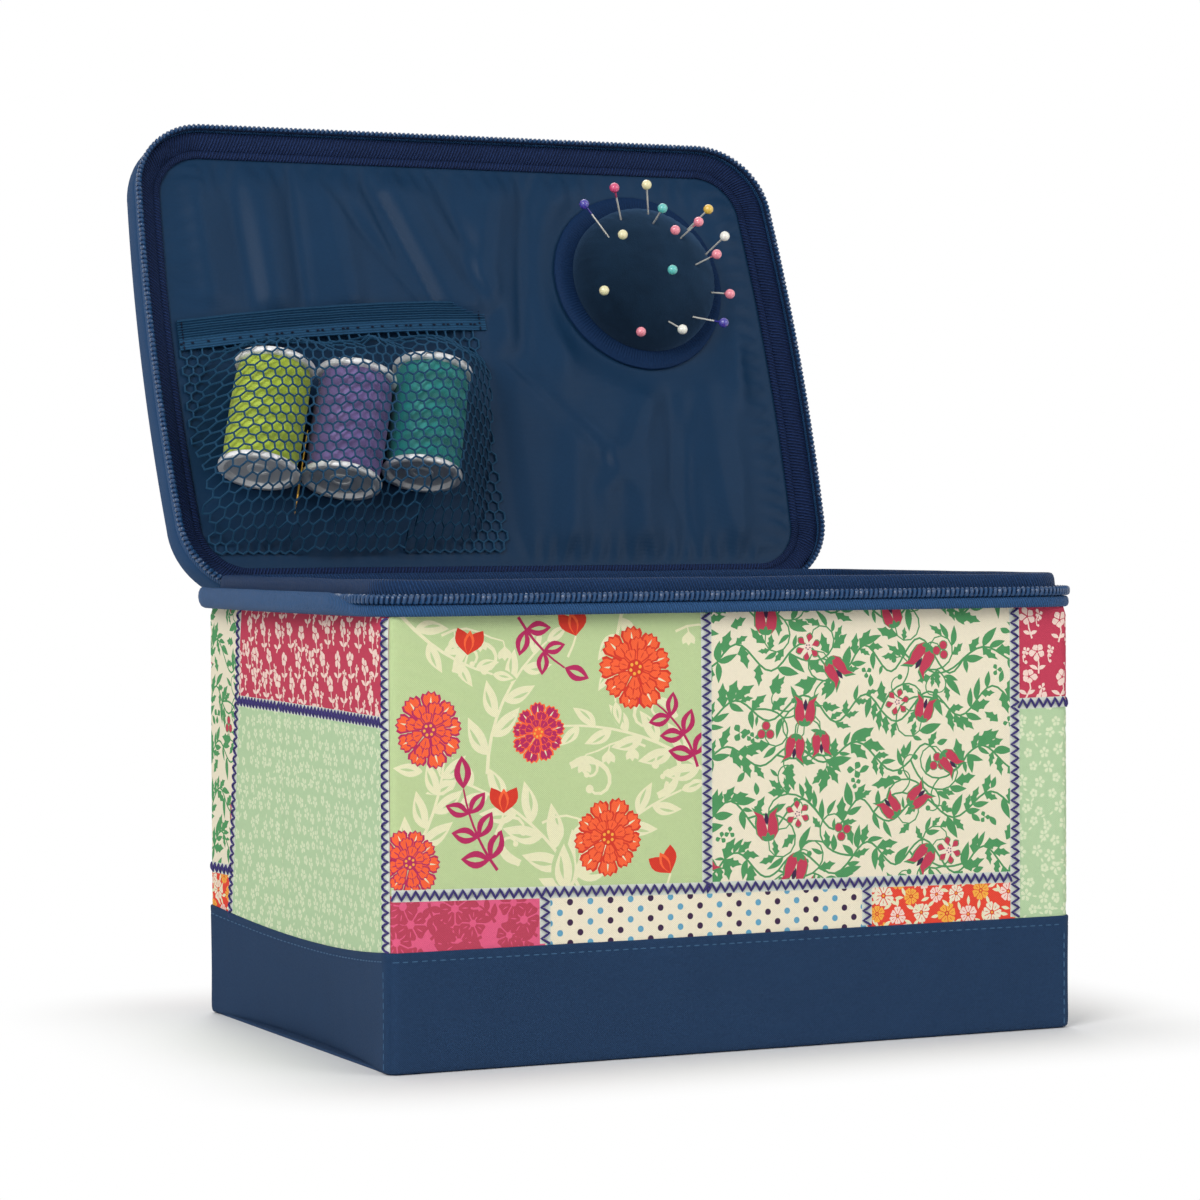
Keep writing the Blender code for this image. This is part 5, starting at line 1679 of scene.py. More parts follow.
def build_rim():
    track, total = body_rim(0.003)
    flat = (
        (-10.0, 150.05), (-4.0, 149.7), (0.0, 149.45), (0.65, 149.8), (0.95, 150.5), (1.0, 151.3),
        (0.9, 152.1), (0.6, 152.8),
        (0.2, 153.1), (-0.2, 153.2), (-0.6, 153.2), (-0.6, 151.4), (-1.2, 150.8), (-4.0, 150.8), (-10.0, 150.8),
    )
    rolled = (
        (-10.0, 150.05), (-4.0, 149.95), (0.6, 149.5), (1.9, 150.2), (2.7, 151.8), (3.0, 153.6),
        (2.8, 155.4), (2.2, 156.7),
        (1.5, 157.1), (1.45, 156.2), (1.75, 154.6), (1.2, 152.6), (-1.2, 150.8), (-4.0, 150.8), (-10.0, 150.8),
    )

    def tape(point, out, distance):
        share = smoothstep(0.55, 0.97, -out.x) * smoothstep(ROLL_START, ROLL_FULL, point.y)
        wave = 0.12 * ripple(distance * 60, 1.0) + 0.06 * ripple(distance * 260, 4.0)
        section = []
        for k, ((ax, az), (bx, bz)) in enumerate(zip(flat, rolled)):
            soft = wave if 2 < k < 9 else 0.0
            section.append(((ax + (bx - ax) * share + soft) * MM, (az + (bz - az) * share + soft * share) * MM))
        return section

    made = Piece((sweep(track, total, tape), TAPE_CLOTH)).done(
        "body_zip_tape_woven", "box", "zip_tape", ["body_zip_tape"]
    )

    fine, fine_total = body_rim(0.001)
    coil_teeth(fine, fine_total, HINGE_Z - COIL_DROP, "body_zip_teeth", "box", "body_zip_coil")

    middle = -LIP_INSET - LIP_WIDTH / 2 + LIP_LEAN
    track, total = loop(LENGTH / 2 + middle, WIDTH / 2 + middle, LIP_RADIUS, 0.002)

    def lip(point, out, distance):
        aside = smoothstep(0.3, 1.0, out.x)
        turn = abs(out.x * out.y) * 2
        pucker = 0.28 * turn * math.sin(distance / 0.0031)
        wave = 0.2 * ripple(distance * 38, 2.0) + pucker
        high = (LIP_TOP - FLANGE_TOP - FIT) / MM + 0.25 * ripple(distance * 30, 7.0) - 0.6
        half = 2.2 + 0.14 * wave
        section = []
        for k in range(18):
            angle = math.tau * k / 18 - math.pi / 2
            side, rise = math.cos(angle), math.sin(angle)
            x = math.copysign(abs(side) ** 0.65, side) * half
            z = high / 2 + math.copysign(abs(rise) ** 0.8, rise) * high / 2
            section.append(((x + wave * 0.3 + 1.4 * aside) * MM, FLANGE_TOP + FIT + z * MM))
        return section

    made = Piece((sweep(track, total, lip), LIP_CLOTH)).done("rim_lip_padded", "box", "navy_satin", ["rim_lip"])


def build_hinge():
    """Rolled cloth along the back, and the strip outside it that joins box and lid."""
    turns = 28
    count = 120
    rows = []
    half = HINGE_HALF_LENGTH - 0.0003
    ups = []
    for k in range(count + 1):
        x = half - 2 * half * k / count
        ups.append(x / MM)
        row = []
        for angle in spread(turns):
            size = HINGE_ROLL_RADIUS + 0.00012 * ripple(x * 90, angle * 1.3, 2.0) - 0.0001
            size *= 0.88 if k in (0, count) else 1.0
            row.append(Vector((x, *polar(HINGE_Y, HINGE_Z, size, angle))))
        rows.append(row)
    around = [math.tau * HINGE_ROLL_RADIUS / MM * j / turns for j in range(turns + 1)]
    roll = Piece((capped(rows, around, ups), GUSSET_CLOTH)).done(
        "hinge_roll", "box", "navy_cloth", ["hinge_binding"]
    )

    first = math.radians(268)
    last = math.radians(342)
    steps = 16
    rows = []
    ups = []
    radius = HINGE_ROLL_RADIUS + 0.0007
    for k in range(steps + 1):
        angle = first + (last - first) * k / steps
        size = radius + (0.0002 if k in (0, steps) else 0.0)
        rows.append([Vector(((1 - 2 * j / 60) * half, *polar(HINGE_Y, HINGE_Z, size, angle))) for j in range(61)])
        ups.append(radius * (angle - first) / MM)
    across = [2 * half * j / 60 / MM for j in range(61)]
    points, faces, corners = lattice(rows, across, ups)
    centre = Vector((0, HINGE_Y, HINGE_Z))
    inner = []
    for p in points:
        out = Vector((0, p.y - centre.y, p.z - centre.z)).normalized()
        inner.append(p - out * 0.0004)
    strip = Piece(
        (thickened(points, inner, faces, corners), GUSSET_CLOTH)
    ).done("hinge_strip", None, "navy_cloth")
    ends = [Vector((0, *polar(HINGE_Y, HINGE_Z, radius, a))) for a in (first, last)]
    tuple(ends[0])
    tuple(ends[1])
    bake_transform(strip)


# ---------------------------------------------------------------- lid


def edge_distance(x, y, half_x, half_y, radius):
    """How far inside a rounded rectangle a point is."""
    beyond_x = abs(x) - (half_x - radius)
    beyond_y = abs(y) - (half_y - radius)
    if beyond_x > 0 and beyond_y > 0:
        return radius - math.hypot(beyond_x, beyond_y)
    return radius - max(beyond_x, beyond_y)


LID_PATCHES = (
    ("cream_vine", rect(-140, -100, -46, -8)),
    ("mint", rect(-140, -8, -46, 40)),
    ("raspberry", rect(-140, 40, -46, 100)),
    ("sage", rect(-46, -100, 62, 46)),
    ("cream_dots", rect(-46, 46, 30, 100)),
    ("red", rect(30, 46, 62, 100)),
    ("magenta", rect(62, -100, 140, -52)),
    ("mint", rect(62, -52, 140, 14)),
    ("cream_vine", rect(62, 14, 140, 100)),
)
LID_SEAMS = (
    [(-46, -92), (-46, 92)],
    [(62, -92), (62, 92)],
    [(-133, -8), (-47.6, -8)],
    [(-133, 40), (-47.6, 40)],
    [(-44.4, 46), (60.4, 46)],
    [(30, 47.6), (30, 92)],
    [(63.6, -52), (133, -52)],
    [(63.6, 14), (133, 14)],
)


def build_lid_top():
    """Padded printed top of the lid, rolled down over its edge."""
    inset = 0.0006
    radius = LID_RIM_RADIUS - inset
    half_x = (LENGTH / 2 + (ZIP_OVERHANG - inset)) / MM
    half_y = (WIDTH / 2 + (ZIP_OVERHANG - inset)) / MM
    roll = 3.2
    track, _ = lid_rim(0.003, inset)
    edge = [(point.x / MM, (point.y + HINGE_Y) / MM) for point, _, _ in track]
    outs = [out for _, out, _ in track]

    def place(x, y, proud):
        bulge = ZIP_BULGE / MM * max(1 - (y / (half_y - radius / MM)) ** 2, 0) if abs(x) > half_x - 12 else 0
        inside = max(edge_distance(x, y, half_x + bulge, half_y, radius / MM), 0)
        fall = roll - math.sqrt(max(roll**2 - max(roll - inside, 0) ** 2, 0))
        fall = min(fall, 1.9)
        puff = 0.9 * smoothstep(2, 30, inside)
        puff += 0.25 * ripple(x * 0.03, y * 0.03, 1.0) * smoothstep(2, 12, inside)
        seam = 0.0
        for (ax, ay), (bx, by) in LID_SEAMS:
            if ax == bx and min(ay, by) - 3 < y < max(ay, by) + 3:
                seam = max(seam, math.exp(-(((x - ax) / 2.4) ** 2)))
            if ay == by and min(ax, bx) - 3 < x < max(ax, bx) + 3:
                seam = max(seam, math.exp(-(((y - ay) / 2.4) ** 2)))
        high = LID_DEPTH - 0.0004 + (puff - 0.5 * seam - fall) * MM + proud
        return Vector((x * MM, y * MM - HINGE_Y, high))

    def skin(x, y, proud):
        point = place(x, y, 0.0)
        if not proud:
            return point
        inside = edge_distance(x, y, half_x, half_y, radius / MM)
        share = smoothstep(0, roll, inside)
        towards = Vector((-x, -y, 0)).normalized() * (1 - share) + Vector((0, 0, -1)) * (0.3 + share)
        return point + towards.normalized() * -proud

    spots = grid_spots(-half_x, half_x, -half_y, half_y, 4.0)
    spots = [p for p in spots if edge_distance(*p, half_x, half_y, radius / MM) > 4.6]
    for depth in (0.35, 0.8, 1.4, 2.2, 3.0, 4.2):
        spots += [(x - out.x * depth, y - out.y * depth) for (x, y), out in zip(edge, outs)]
    piece = printed_sheet(edge, LID_PATCHES, LID_SEAMS, spots, skin, LID_SEED, 0.0009)
    top = piece.done("lid_patchwork", "lid", "print_front", ["lid_panel"])
    stitches = Piece()
    for line in LID_SEAMS:
        stitches.add(zigzag(line, place), SEAM_THREAD)
    route = [LID @ place(x - out.x * 3.4, y - out.y * 3.4, 0.00012) for (x, y), out in zip(edge, outs)]
    stitches.stitch(running_stitch([LID.inverted() @ p for p in route + route[:1]]), NAVY_THREAD)
    stitches.done("lid_zigzag_stitching", "lid", "print_front")

    rows = []
    xs = [-1 + k / 20 for k in range(41)]
    ys = [-1 + k / 14 for k in range(29)]
    for y in ys:
        row = []
        for x in xs:
            px, py = x * (half_x - 5), y * (half_y - 5)
            inside = edge_distance(px, py, half_x - 4, half_y - 4, 24)
            if inside < 0.5:
                pull = (0.5 - inside) / math.hypot(px, py)
                px, py = px * (1 - pull), py * (1 - pull)
            row.append(Vector((px * MM, py * MM - HINGE_Y, 0.0146 + 0.0012 * smoothstep(0, 20, inside))))
        rows.append(row)
    points, faces, corners = lattice(rows, [x * half_x for x in xs], [y * half_y for y in ys])
    lower = [Vector((p.x, p.y, 0.0130)) for p in points]
    pad = Piece(
        (thickened(points, lower, faces, corners), WADDING)
    ).done("lid_wadding", "lid", "wadding", ["lid_padding"])


def build_lid_sides():
    """Side strip, zip tape and teeth of the lid."""
    track, total = lid_rim(0.0025)
    profile = (
        (-0.5, GUSSET_FOOT / MM - 0.1), (0.55, GUSSET_FOOT / MM - 0.1), (0.95, 7.4), (1.2, 8.4),
        (1.35, 9.8), (1.4, 11.2), (1.4, 12.8),
        (1.3, 14.4), (1.0, 15.7), (0.4, 16.7), (-0.4, 17.2), (-1.2, 17.3), (-1.8, 17.0),
        (-1.9, 16.4), (-1.4, 15.6), (-0.5, 14.0),
        (-0.5, 9.0),
    )

    def gusset(point, out, distance):
        wave = 0.22 * ripple(distance * 32, 3.0) + 0.1 * ripple(distance * 120, 8.0)
        turn = abs(out.x * out.y) * 2
        wave += 0.2 * turn * math.sin(distance / 0.0026)
        section = []
        for k, (x, z) in enumerate(profile):
            soft = wave * (1 - abs(z - 10.8) / 5) if 1 < k < 9 else 0.0
            section.append(((x + soft) * MM, z * MM))
        return section

    made = Piece((sweep(track, total, gusset), GUSSET_CLOTH)).done(
        "lid_side_strip", "lid", "navy_cloth", ["lid_gusset"]
    )
    total * 0.0105

    outline = (
        (-0.6, 3.5), (0.45, 3.45), (0.7, 3.8), (0.75, 4.6), (0.75, 5.6), (0.7, 6.3), (0.5, 6.7), (-0.6, 6.6),
        (-0.6, 5.0)
    )

    def tape(point, out, distance):
        wave = 0.08 * ripple(distance * 70, 5.0)
        return [((x + (wave if 0 < k < 7 else 0)) * MM, z * MM) for k, (x, z) in enumerate(outline)]

    made = Piece((sweep(track, total, tape), TAPE_CLOTH)).done(
        "lid_zip_tape_woven", "lid", "zip_tape", ["lid_zip_tape"]
    )
    total * 0.0045
    fine, fine_total = lid_rim(0.001)
    coil_teeth(fine, fine_total, COIL_DROP, "lid_zip_teeth", "lid", "lid_zip_coil")


def build_facing():
    """Padded ribbed roll round the inside of the lid, with a narrow ribbed strip between it and the lining."""
    track, total = lid_rim(0.0016)

    def roll(point, out, distance):
        turn = abs(out.x * out.y) * 2
        pucker = turn * (1.0 * math.sin(distance / 0.0023) + 0.7 * math.sin(distance / 0.0037 + 1))
        wave = 0.3 * ripple(distance * 34, 2.5) + 0.14 * ripple(distance * 130, 6.5) + pucker
        section = [(-0.9, 8.9), (-0.9, 6.2)]
        for k in range(11):
            share = k / 10
            x = -0.9 - 6.3 * share
            line = 4.5 + 3.4 * share
            belly = 1.05 * math.sin(math.pi * share) ** 0.8
            z = line - belly * (0.75 + 0.25 * wave) - 0.25 * wave * math.sin(math.pi * share)
            section.append((x, max(z, 4.3 + max(-x - 4.5, 0) * 0.55)))
        section += [(-7.3, 8.9)]
        return [(x * MM, z * MM) for x, z in section]

    made = Piece((sweep(track, total, roll), FACING_CLOTH)).done(
        "lid_facing_roll", "lid", "navy_cloth", ["lid_facing"]
    )

    def strip(point, out, distance):
        turn = abs(out.x * out.y) * 2
        wave = 0.15 * ripple(distance * 60, 9.5) + 0.2 * turn * math.sin(distance / 0.0021)
        shape = ((-7.0, 8.9), (-7.0, 8.1), (-7.4, 7.7), (-8.2, 7.6), (-9.2, 7.8), (-9.9, 8.3), (-10.0, 8.9))
        return [(x * MM, (z + (wave if 0 < k < 6 else 0)) * MM) for k, (x, z) in enumerate(shape)]

    made = Piece((sweep(track, total, strip), FACING_CLOTH)).done("lid_facing_binding", "lid", "navy_cloth")


def spool_frame(name):
    across, up, tilt = SPOOLS[name]
    return Vector((across, -up, SPOOL_DEPTH)), Vector((math.sin(tilt), -math.cos(tilt), 0))


def needle_frame():
    first, axis = spool_frame("lime")
    second, _ = spool_frame("purple")
    half_gap = abs((second - first).dot(Vector((-axis.y, axis.x, 0)))) / 2
    reach = SPOOL_RADIUS + FIT + NEEDLE_RADIUS
    above = math.sqrt(max(reach**2 - half_gap**2, 0))
    middle = (first + second) / 2 - axis * SPOOL_LENGTH * NEEDLE_DROP_SHARE
    return middle - Vector((0, 0, above)), axis


def beyond_spool(place, centre, axis):
    along = abs((place - centre.to_2d()).dot(axis.to_2d()))
    return max(along - SPOOL_LENGTH / 2 - NET_END_REACH, 0) * NET_SLOPE_ENDS


def net_depth(across, up):
    """Depth of the stretched net below the lining, as in the solids."""
    depth = LID_LINING_BOTTOM - NET_EDGE_DEPTH
    place = Vector((across, -up))
    radius = SPOOL_RADIUS + NET_CLEARANCE
    frames = [spool_frame(name) for name in SPOOLS]
    for centre, axis in frames:
        side = Vector((-axis.y, axis.x))
        aside = (place - centre.to_2d()).dot(side)
        slope = NET_SLOPE_LEFT if aside < 0 else NET_SLOPE_RIGHT
        turn_off = radius * slope / math.hypot(1, slope)
        beyond_side = max(abs(aside) - turn_off, 0) * slope
        beyond_end = beyond_spool(place, centre, axis)
        crest = centre.z - math.sqrt(radius**2 - min(abs(aside), turn_off) ** 2)
        depth = min(depth, crest + math.hypot(beyond_side, beyond_end))
    for (first, first_axis), (second, second_axis) in zip(frames, frames[1:]):
        centre = (first + second) / 2
        axis = ((first_axis + second_axis) / 2).normalized()
        side = Vector((-axis.y, axis.x))
        half = (second - first).to_2d().dot(side) / 2
        aside = (place - centre.to_2d()).dot(side)
        if abs(aside) < half:
            sag = NET_SAG * (1 - (aside / half) ** 2)
            depth = min(depth, centre.z - radius + sag + beyond_spool(place, centre, axis))
    centre, axis = needle_frame()
    offset = Vector((across, -up, 0)) - Vector((centre.x, centre.y, 0))
    beyond_side = offset.dot(Vector((-axis.y, axis.x, 0))) * NET_SLOPE_NEEDLE
    beyond_end = max(abs(offset.dot(axis)) - NEEDLE_LENGTH / 2, 0) * NET_SLOPE_NEEDLE
    crest = centre.z - NEEDLE_RADIUS - NET_CLEARANCE
    return min(depth, crest + math.hypot(beyond_side, beyond_end))


def inside_facing(across, up, margin):
    beyond_x = max(abs(across) - (LENGTH / 2 + ZIP_OVERHANG - LID_RIM_RADIUS), 0)
    beyond_y = max(abs(up - HINGE_Y) - (HINGE_Y - LID_RIM_RADIUS), 0)
    return math.hypot(beyond_x, beyond_y) < LID_RIM_RADIUS - FACING_EDGE - margin


def elastic_line(share):
    across = POCKET_EDGE + POCKET_WIDTH * share
    up = ELASTIC_LEFT_HEIGHT + (ELASTIC_RIGHT_HEIGHT - ELASTIC_LEFT_HEIGHT) * share
    depth = LID_LINING_BOTTOM - FIT - ELASTIC_THICKNESS - ELASTIC_BOW * 4 * share * (1 - share)
    return Vector((across, -up, depth))


# Soft folds of the lid's lining, in mm: from (x, up) at the upper end to (x, up) at the lower, width and height
LINING_FOLDS = (
    (-112, 178, -108, 118, 7, 0.9), (-97, 180, -92, 114, 7, -0.9), (-84, 180, -84, 116, 8, 1.1),
    (-71, 180, -71, 112, 6, -1.2),
    (-56, 180, -52, 118, 8, 1.3), (-42, 180, -17, 112, 5.5, -1.6), (-30, 180, -6, 118, 8, 1.5),
    (-8, 182, 4, 120, 6, -1.0),
    (18, 180, 0, 110, 8, 1.3), (32, 182, 18, 96, 6, -1.2), (48, 184, 34, 90, 8, 1.0), (12, 96, 46, 58, 6, -1.3),
    (18, 88, 56, 50, 7, 1.3), (66, 76, 58, 20, 8, 1.1), (80, 80, 78, 22, 6, -1.1),
    (96, 84, 100, 24, 8, 1.1), (34, 60, 26, 18, 7, 1.0),
    (114, 150, 112, 84, 5, 0.9), (-64, 182, -28, 128, 5, -0.7), (-18, 170, 8, 128, 5, 0.7),
    (70, 78, 44, 40, 6, 0.8), (92, 82, 74, 40, 6.5, -0.7), (108, 96, 104, 44, 6, 0.7),
)


def build_lid_lining():
    """Satin inside the lid, with broad soft folds that stay flat under what is sewn to it or lies on it."""
    inset = 0.0011
    half_x = (LENGTH / 2 + ZIP_OVERHANG - inset) / MM
    half_y = (WIDTH / 2 + ZIP_OVERHANG - inset) / MM
    radius = (LID_RIM_RADIUS - inset) / MM

    def lining_point(x, y):
        up = -(y * MM - HINGE_Y)
        inside = edge_distance(x, y, half_x, half_y, radius)
        free = smoothstep(8, 24, inside)
        for name in SPOOLS:
            centre, _ = spool_frame(name)
            away = (Vector((x * MM, -up)) - centre.to_2d()).length / MM
            free *= 0.3 + 0.7 * smoothstep(20, 34, away)
        away = math.hypot(x * MM - CUSHION_X, up - CUSHION_UP) / MM
        free *= smoothstep(38, 52, away)
        t = up / MM
        beside = max(POCKET_EDGE / MM - x, x - (POCKET_EDGE + POCKET_WIDTH) / MM, t - 112, 0)
        free *= 0.25 + 0.75 * smoothstep(0, 10, beside)
        fold = 2.0 + 0.9 * ripple(x * 0.035, t * 0.018, 12.0)
        for x0, t0, x1, t1, width, depth in LINING_FOLDS:
            share = min(max((t - t0) / (t1 - t0), 0), 1)
            away = x - x0 - (x1 - x0) * share
            fade = smoothstep(t1 - 16, t1 + 6, t) * (1 - 0.3 * smoothstep(t0 - 30, t0, t))
            if t > t0:
                fade *= 1 - smoothstep(t0, t0 + 12, t)
            sharp = 0.75 if depth < 0 else 0.85
            fold += 2.1 * depth * math.exp(-((away / width / sharp) ** 2)) * fade
        along = x if abs(x) < half_x - 26 else t
        pucker = 0.42 * math.sin(math.tau * along / 7.5 + 3 * ripple(x * 0.05, t * 0.05, 2.0))
        pucker *= smoothstep(8, 10, inside) * (1 - smoothstep(11, 28, inside))
        shift = free * fold + pucker * min(free * 4, 1)
        return Vector((x * MM, y * MM - HINGE_Y, LID_LINING_BOTTOM - min(max(shift, -0.1), 4.2) * MM))

    track, _ = lid_rim(0.003, inset)
    edge = [(point.x / MM, (point.y + HINGE_Y) / MM) for point, _, _ in track]
    spots = [
        p for p in grid_spots(-half_x, half_x, -half_y, half_y, 1.5)
        if edge_distance(*p, half_x, half_y, radius) > 2.5
    ]
    made, faces, corners = filled(edge, spots)
    visible = [lining_point(p.x, p.y) for p in made]
    hidden = [Vector((p.x, p.y, max(p.z + 0.0005, LID_LINING_BOTTOM + 0.0005))) for p in visible]
    sheet = Piece(
        (thickened(visible, hidden, faces, corners), SATIN)
    ).done("lid_lining_satin", "lid", "navy_satin", ["lid_lining"])


def build_net():
    """Knitted net of hexagons stretched over the spools."""
    pitch = NET_PITCH
    side = pitch / math.sqrt(3)
    bm = bmesh.new()
    corners = {}

    def corner(x, y):
        key = (round(x / side * 4), round(y / side * 4))
        if key not in corners:
            edge = elastic_line((x - POCKET_EDGE) / POCKET_WIDTH)
            roof = -edge.y - ELASTIC_WIDTH / 2
            held = smoothstep(roof - 0.0085, roof, y)
            depth = net_depth(x, y) * (1 - held) + (edge.z + ELASTIC_THICKNESS * 0.6) * held
            corners[key] = bm.verts.new((x, -y, depth))
        return corners[key]

    columns = int((POCKET_WIDTH - pitch / 2) / pitch)
    rows = round((ELASTIC_LEFT_HEIGHT - ELASTIC_WIDTH / 2 - POCKET_BOTTOM) / (side * 3 / 2))
    height = side * (rows * 3 / 2 + 1 / 2)
    turns = [math.pi / 6 + k * math.pi / 3 for k in range(6)]
    for row in range(rows):
        for column in range(columns):
            middle = pitch * (column + 1 / 2 + (row % 2) / 2)
            cell = []
            for angle in turns:
                share = (middle + side * math.cos(angle)) / POCKET_WIDTH
                x = POCKET_EDGE + POCKET_WIDTH * share
                roof = -elastic_line(share).y - ELASTIC_WIDTH / 2 + 0.0012
                up_share = (side * (1 + row * 3 / 2 + math.sin(angle))) / height
                cell.append((x, POCKET_BOTTOM + (roof - POCKET_BOTTOM) * up_share))
            if all(inside_facing(x, y, 0.0002) for x, y in cell):
                bm.faces.new([corner(x, y) for x, y in cell])
    mesh = bpy.data.meshes.new("pocket_net")
    bm.to_mesh(mesh)
    bm.free()
    piece = Piece()
    strands = {tuple(sorted(edge.vertices)) for edge in mesh.edges}
    places = [v.co.copy() for v in mesh.vertices]
    for a, b in sorted(strands):
        if (places[b] - places[a]).length > 1e-6:
            piece.add(tube([places[a], places[b]], NET_STRAND / 2, 5), NET)
    ball = bmesh.new()
    bmesh.ops.create_icosphere(ball, subdivisions=1, radius=NET_STRAND * 0.58)
    knot = ([v.co.copy() for v in ball.verts], [tuple(v.index for v in f.verts) for f in ball.faces])
    ball.free()
    for place in places:
        faces = knot[1]
        piece.add(([place + v for v in knot[0]], faces, [(0.0, 0.0)] * (3 * len(faces))), NET)
    net = piece.done("pocket_net", "lid", "net", ["mesh_pocket"])

    count = 90
    tall = 76
    rows = []
    ups = []
    for k in range(tall + 1):
        share_up = k / tall
        offset = (share_up - 0.5) * ELASTIC_WIDTH
        row = []
        for j in range(count + 1):
            share = j / count
            middle = elastic_line(share)
            rib = 0.3 * math.sin(math.tau * share_up * 12)
            rib = rib * smoothstep(0.3, 0.42, share_up) * (1 - smoothstep(0.93, 0.99, share_up))
            crimp = 0.10 * math.sin(share * 260 + 2 * math.sin(share_up * 9))
            crimp += 0.4 * ripple(share * 14, share_up * 1.5, 3.0)
            crimp *= smoothstep(0, 0.06, share) * (1 - smoothstep(0.94, 1, share))
            row.append(middle + Vector((0, -offset, -(rib + crimp) * MM)))
        rows.append(row)
        ups.append(share_up * ELASTIC_WIDTH / MM)
    across = [POCKET_WIDTH / MM * j / count for j in range(count + 1)]
    points, faces, corners = lattice(rows, across, ups)
    behind = [p + Vector((0, 0, ELASTIC_THICKNESS * 0.8)) for p in points]
    band = Piece(
        (thickened(points, behind, faces, corners), ELASTIC)
    ).done("pocket_elastic_band", "lid", "elastic", ["pocket_elastic"])
    stitches = Piece()
    row = [p + Vector((0, 0, -0.00035)) for p in rows[14]]
    stitches.stitch(running_stitch(row, 1.2, 0.9, 0.0004), DARK_THREAD)
    for j in (1, count - 2):
        route = [rows[k][j] + Vector((0, 0, -0.0003)) for k in range(0, tall + 1, 2)]
        stitches.stitch(running_stitch(route, 1.5, 0.6, 0.00034), DARK_THREAD)
    stitches.done("pocket_elastic_stitching", "lid", "elastic")


def turned_shell(profile, steps, frame_matrix, ripple_at=None):
    """A profile of (radius, height) turned about an axis, closed at its two ends on the axis."""
    rows = []
    for k, (radius, height) in enumerate(profile):
        row = []
        for angle in spread(steps):
            extra = ripple_at(angle, height) if ripple_at and 0 < k < len(profile) - 1 else 0.0
            row.append(frame_matrix @ Vector((*polar(0, 0, radius + extra, angle), height)))
        rows.append(row)
    ups = [0.0]
    for (r0, h0), (r1, h1) in zip(profile, profile[1:]):
        ups.append(ups[-1] + math.hypot(r1 - r0, h1 - h0) / MM)
    widest = max(radius for radius, _ in profile)
    around = [math.tau * widest / MM * j / steps for j in range(steps + 1)]
    return capped(rows, around, ups)


def build_spools():
    half = SPOOL_LENGTH / 2
    for name in SPOOLS:
        centre, axis = spool_frame(name)
        place = Matrix.Translation(centre) @ axis.to_track_quat("Z", "Y").to_matrix().to_4x4()
        dish = half - 0.0018
        upper = [
            (0.0031, dish - 0.004), (0.0032, dish + 0.0006), (0.0044, dish + 0.0006),
            (0.0045, dish), (0.0118, dish - 0.0002),
            (0.0126, dish + 0.0001), (0.0129, half - 0.0004), (0.0132, half), (0.0147, half),
            (0.0153, half - 0.0002),
            (0.0155, half - 0.0007), (0.0155, half - 0.0018), (0.0152, half - 0.0023),
            (0.0146, half - SPOOL_RIM),
            (SPOOL_CORE, half - SPOOL_RIM),
        ]
        reel = upper + [(radius, -height) for radius, height in reversed(upper)]
        piece = Piece()
        piece.add(turned_shell(reel, 64, place), REEL)
        for sign in (-1, 1):
            plate = [
                (0.0004, sign * (dish + 0.00005)), (0.0046, sign * (dish + 0.00009)),
                (0.0122, sign * (dish - 0.00003))
            ]
            plate += [(0.0122, sign * (dish - 0.0006)), (0.0004, sign * (dish - 0.0006))]
            ring = [(max(radius, 0.0046), height) for radius, height in plate]
            piece.add(turned_shell(ring[1:] + ring[:1], 48, place), REEL_GREY)
        piece.done(name + "_reel", "lid", "spool", [name + "_spool"])

        reach = half - SPOOL_RIM - 0.0001
        turns = 92
        profile = [(SPOOL_CORE + FIT, reach)]
        for k in range(turns * 2 + 1):
            share = k / (turns * 2)
            height = reach - 2 * reach * share
            crown = THREAD_RADIUS + 0.0002 - 0.0009 * (2 * share - 1) ** 6 - 0.0002 * (2 * share - 1) ** 2
            profile.append((crown, height))
        profile.append((SPOOL_CORE + FIT, -reach))
        pitch = 2 * reach / turns

        def wound(angle, height, pitch=pitch, seed=SPOOLS[name][0] * 100):
            turn = math.tau * height / pitch + angle
            return 0.00011 * math.sin(turn) + 0.00005 * ripple(height * 300, math.sin(angle), seed)

        Piece(
            (turned_shell(profile, 64, place, wound), THREADS[name])
        ).done(name + "_winding", "lid", "thread_" + name, [name + "_thread"])


def crown(share):
    return CUSHION_HEIGHT * (1 - min(share, 1) ** CUSHION_FULLNESS) ** (1 / CUSHION_FULLNESS)


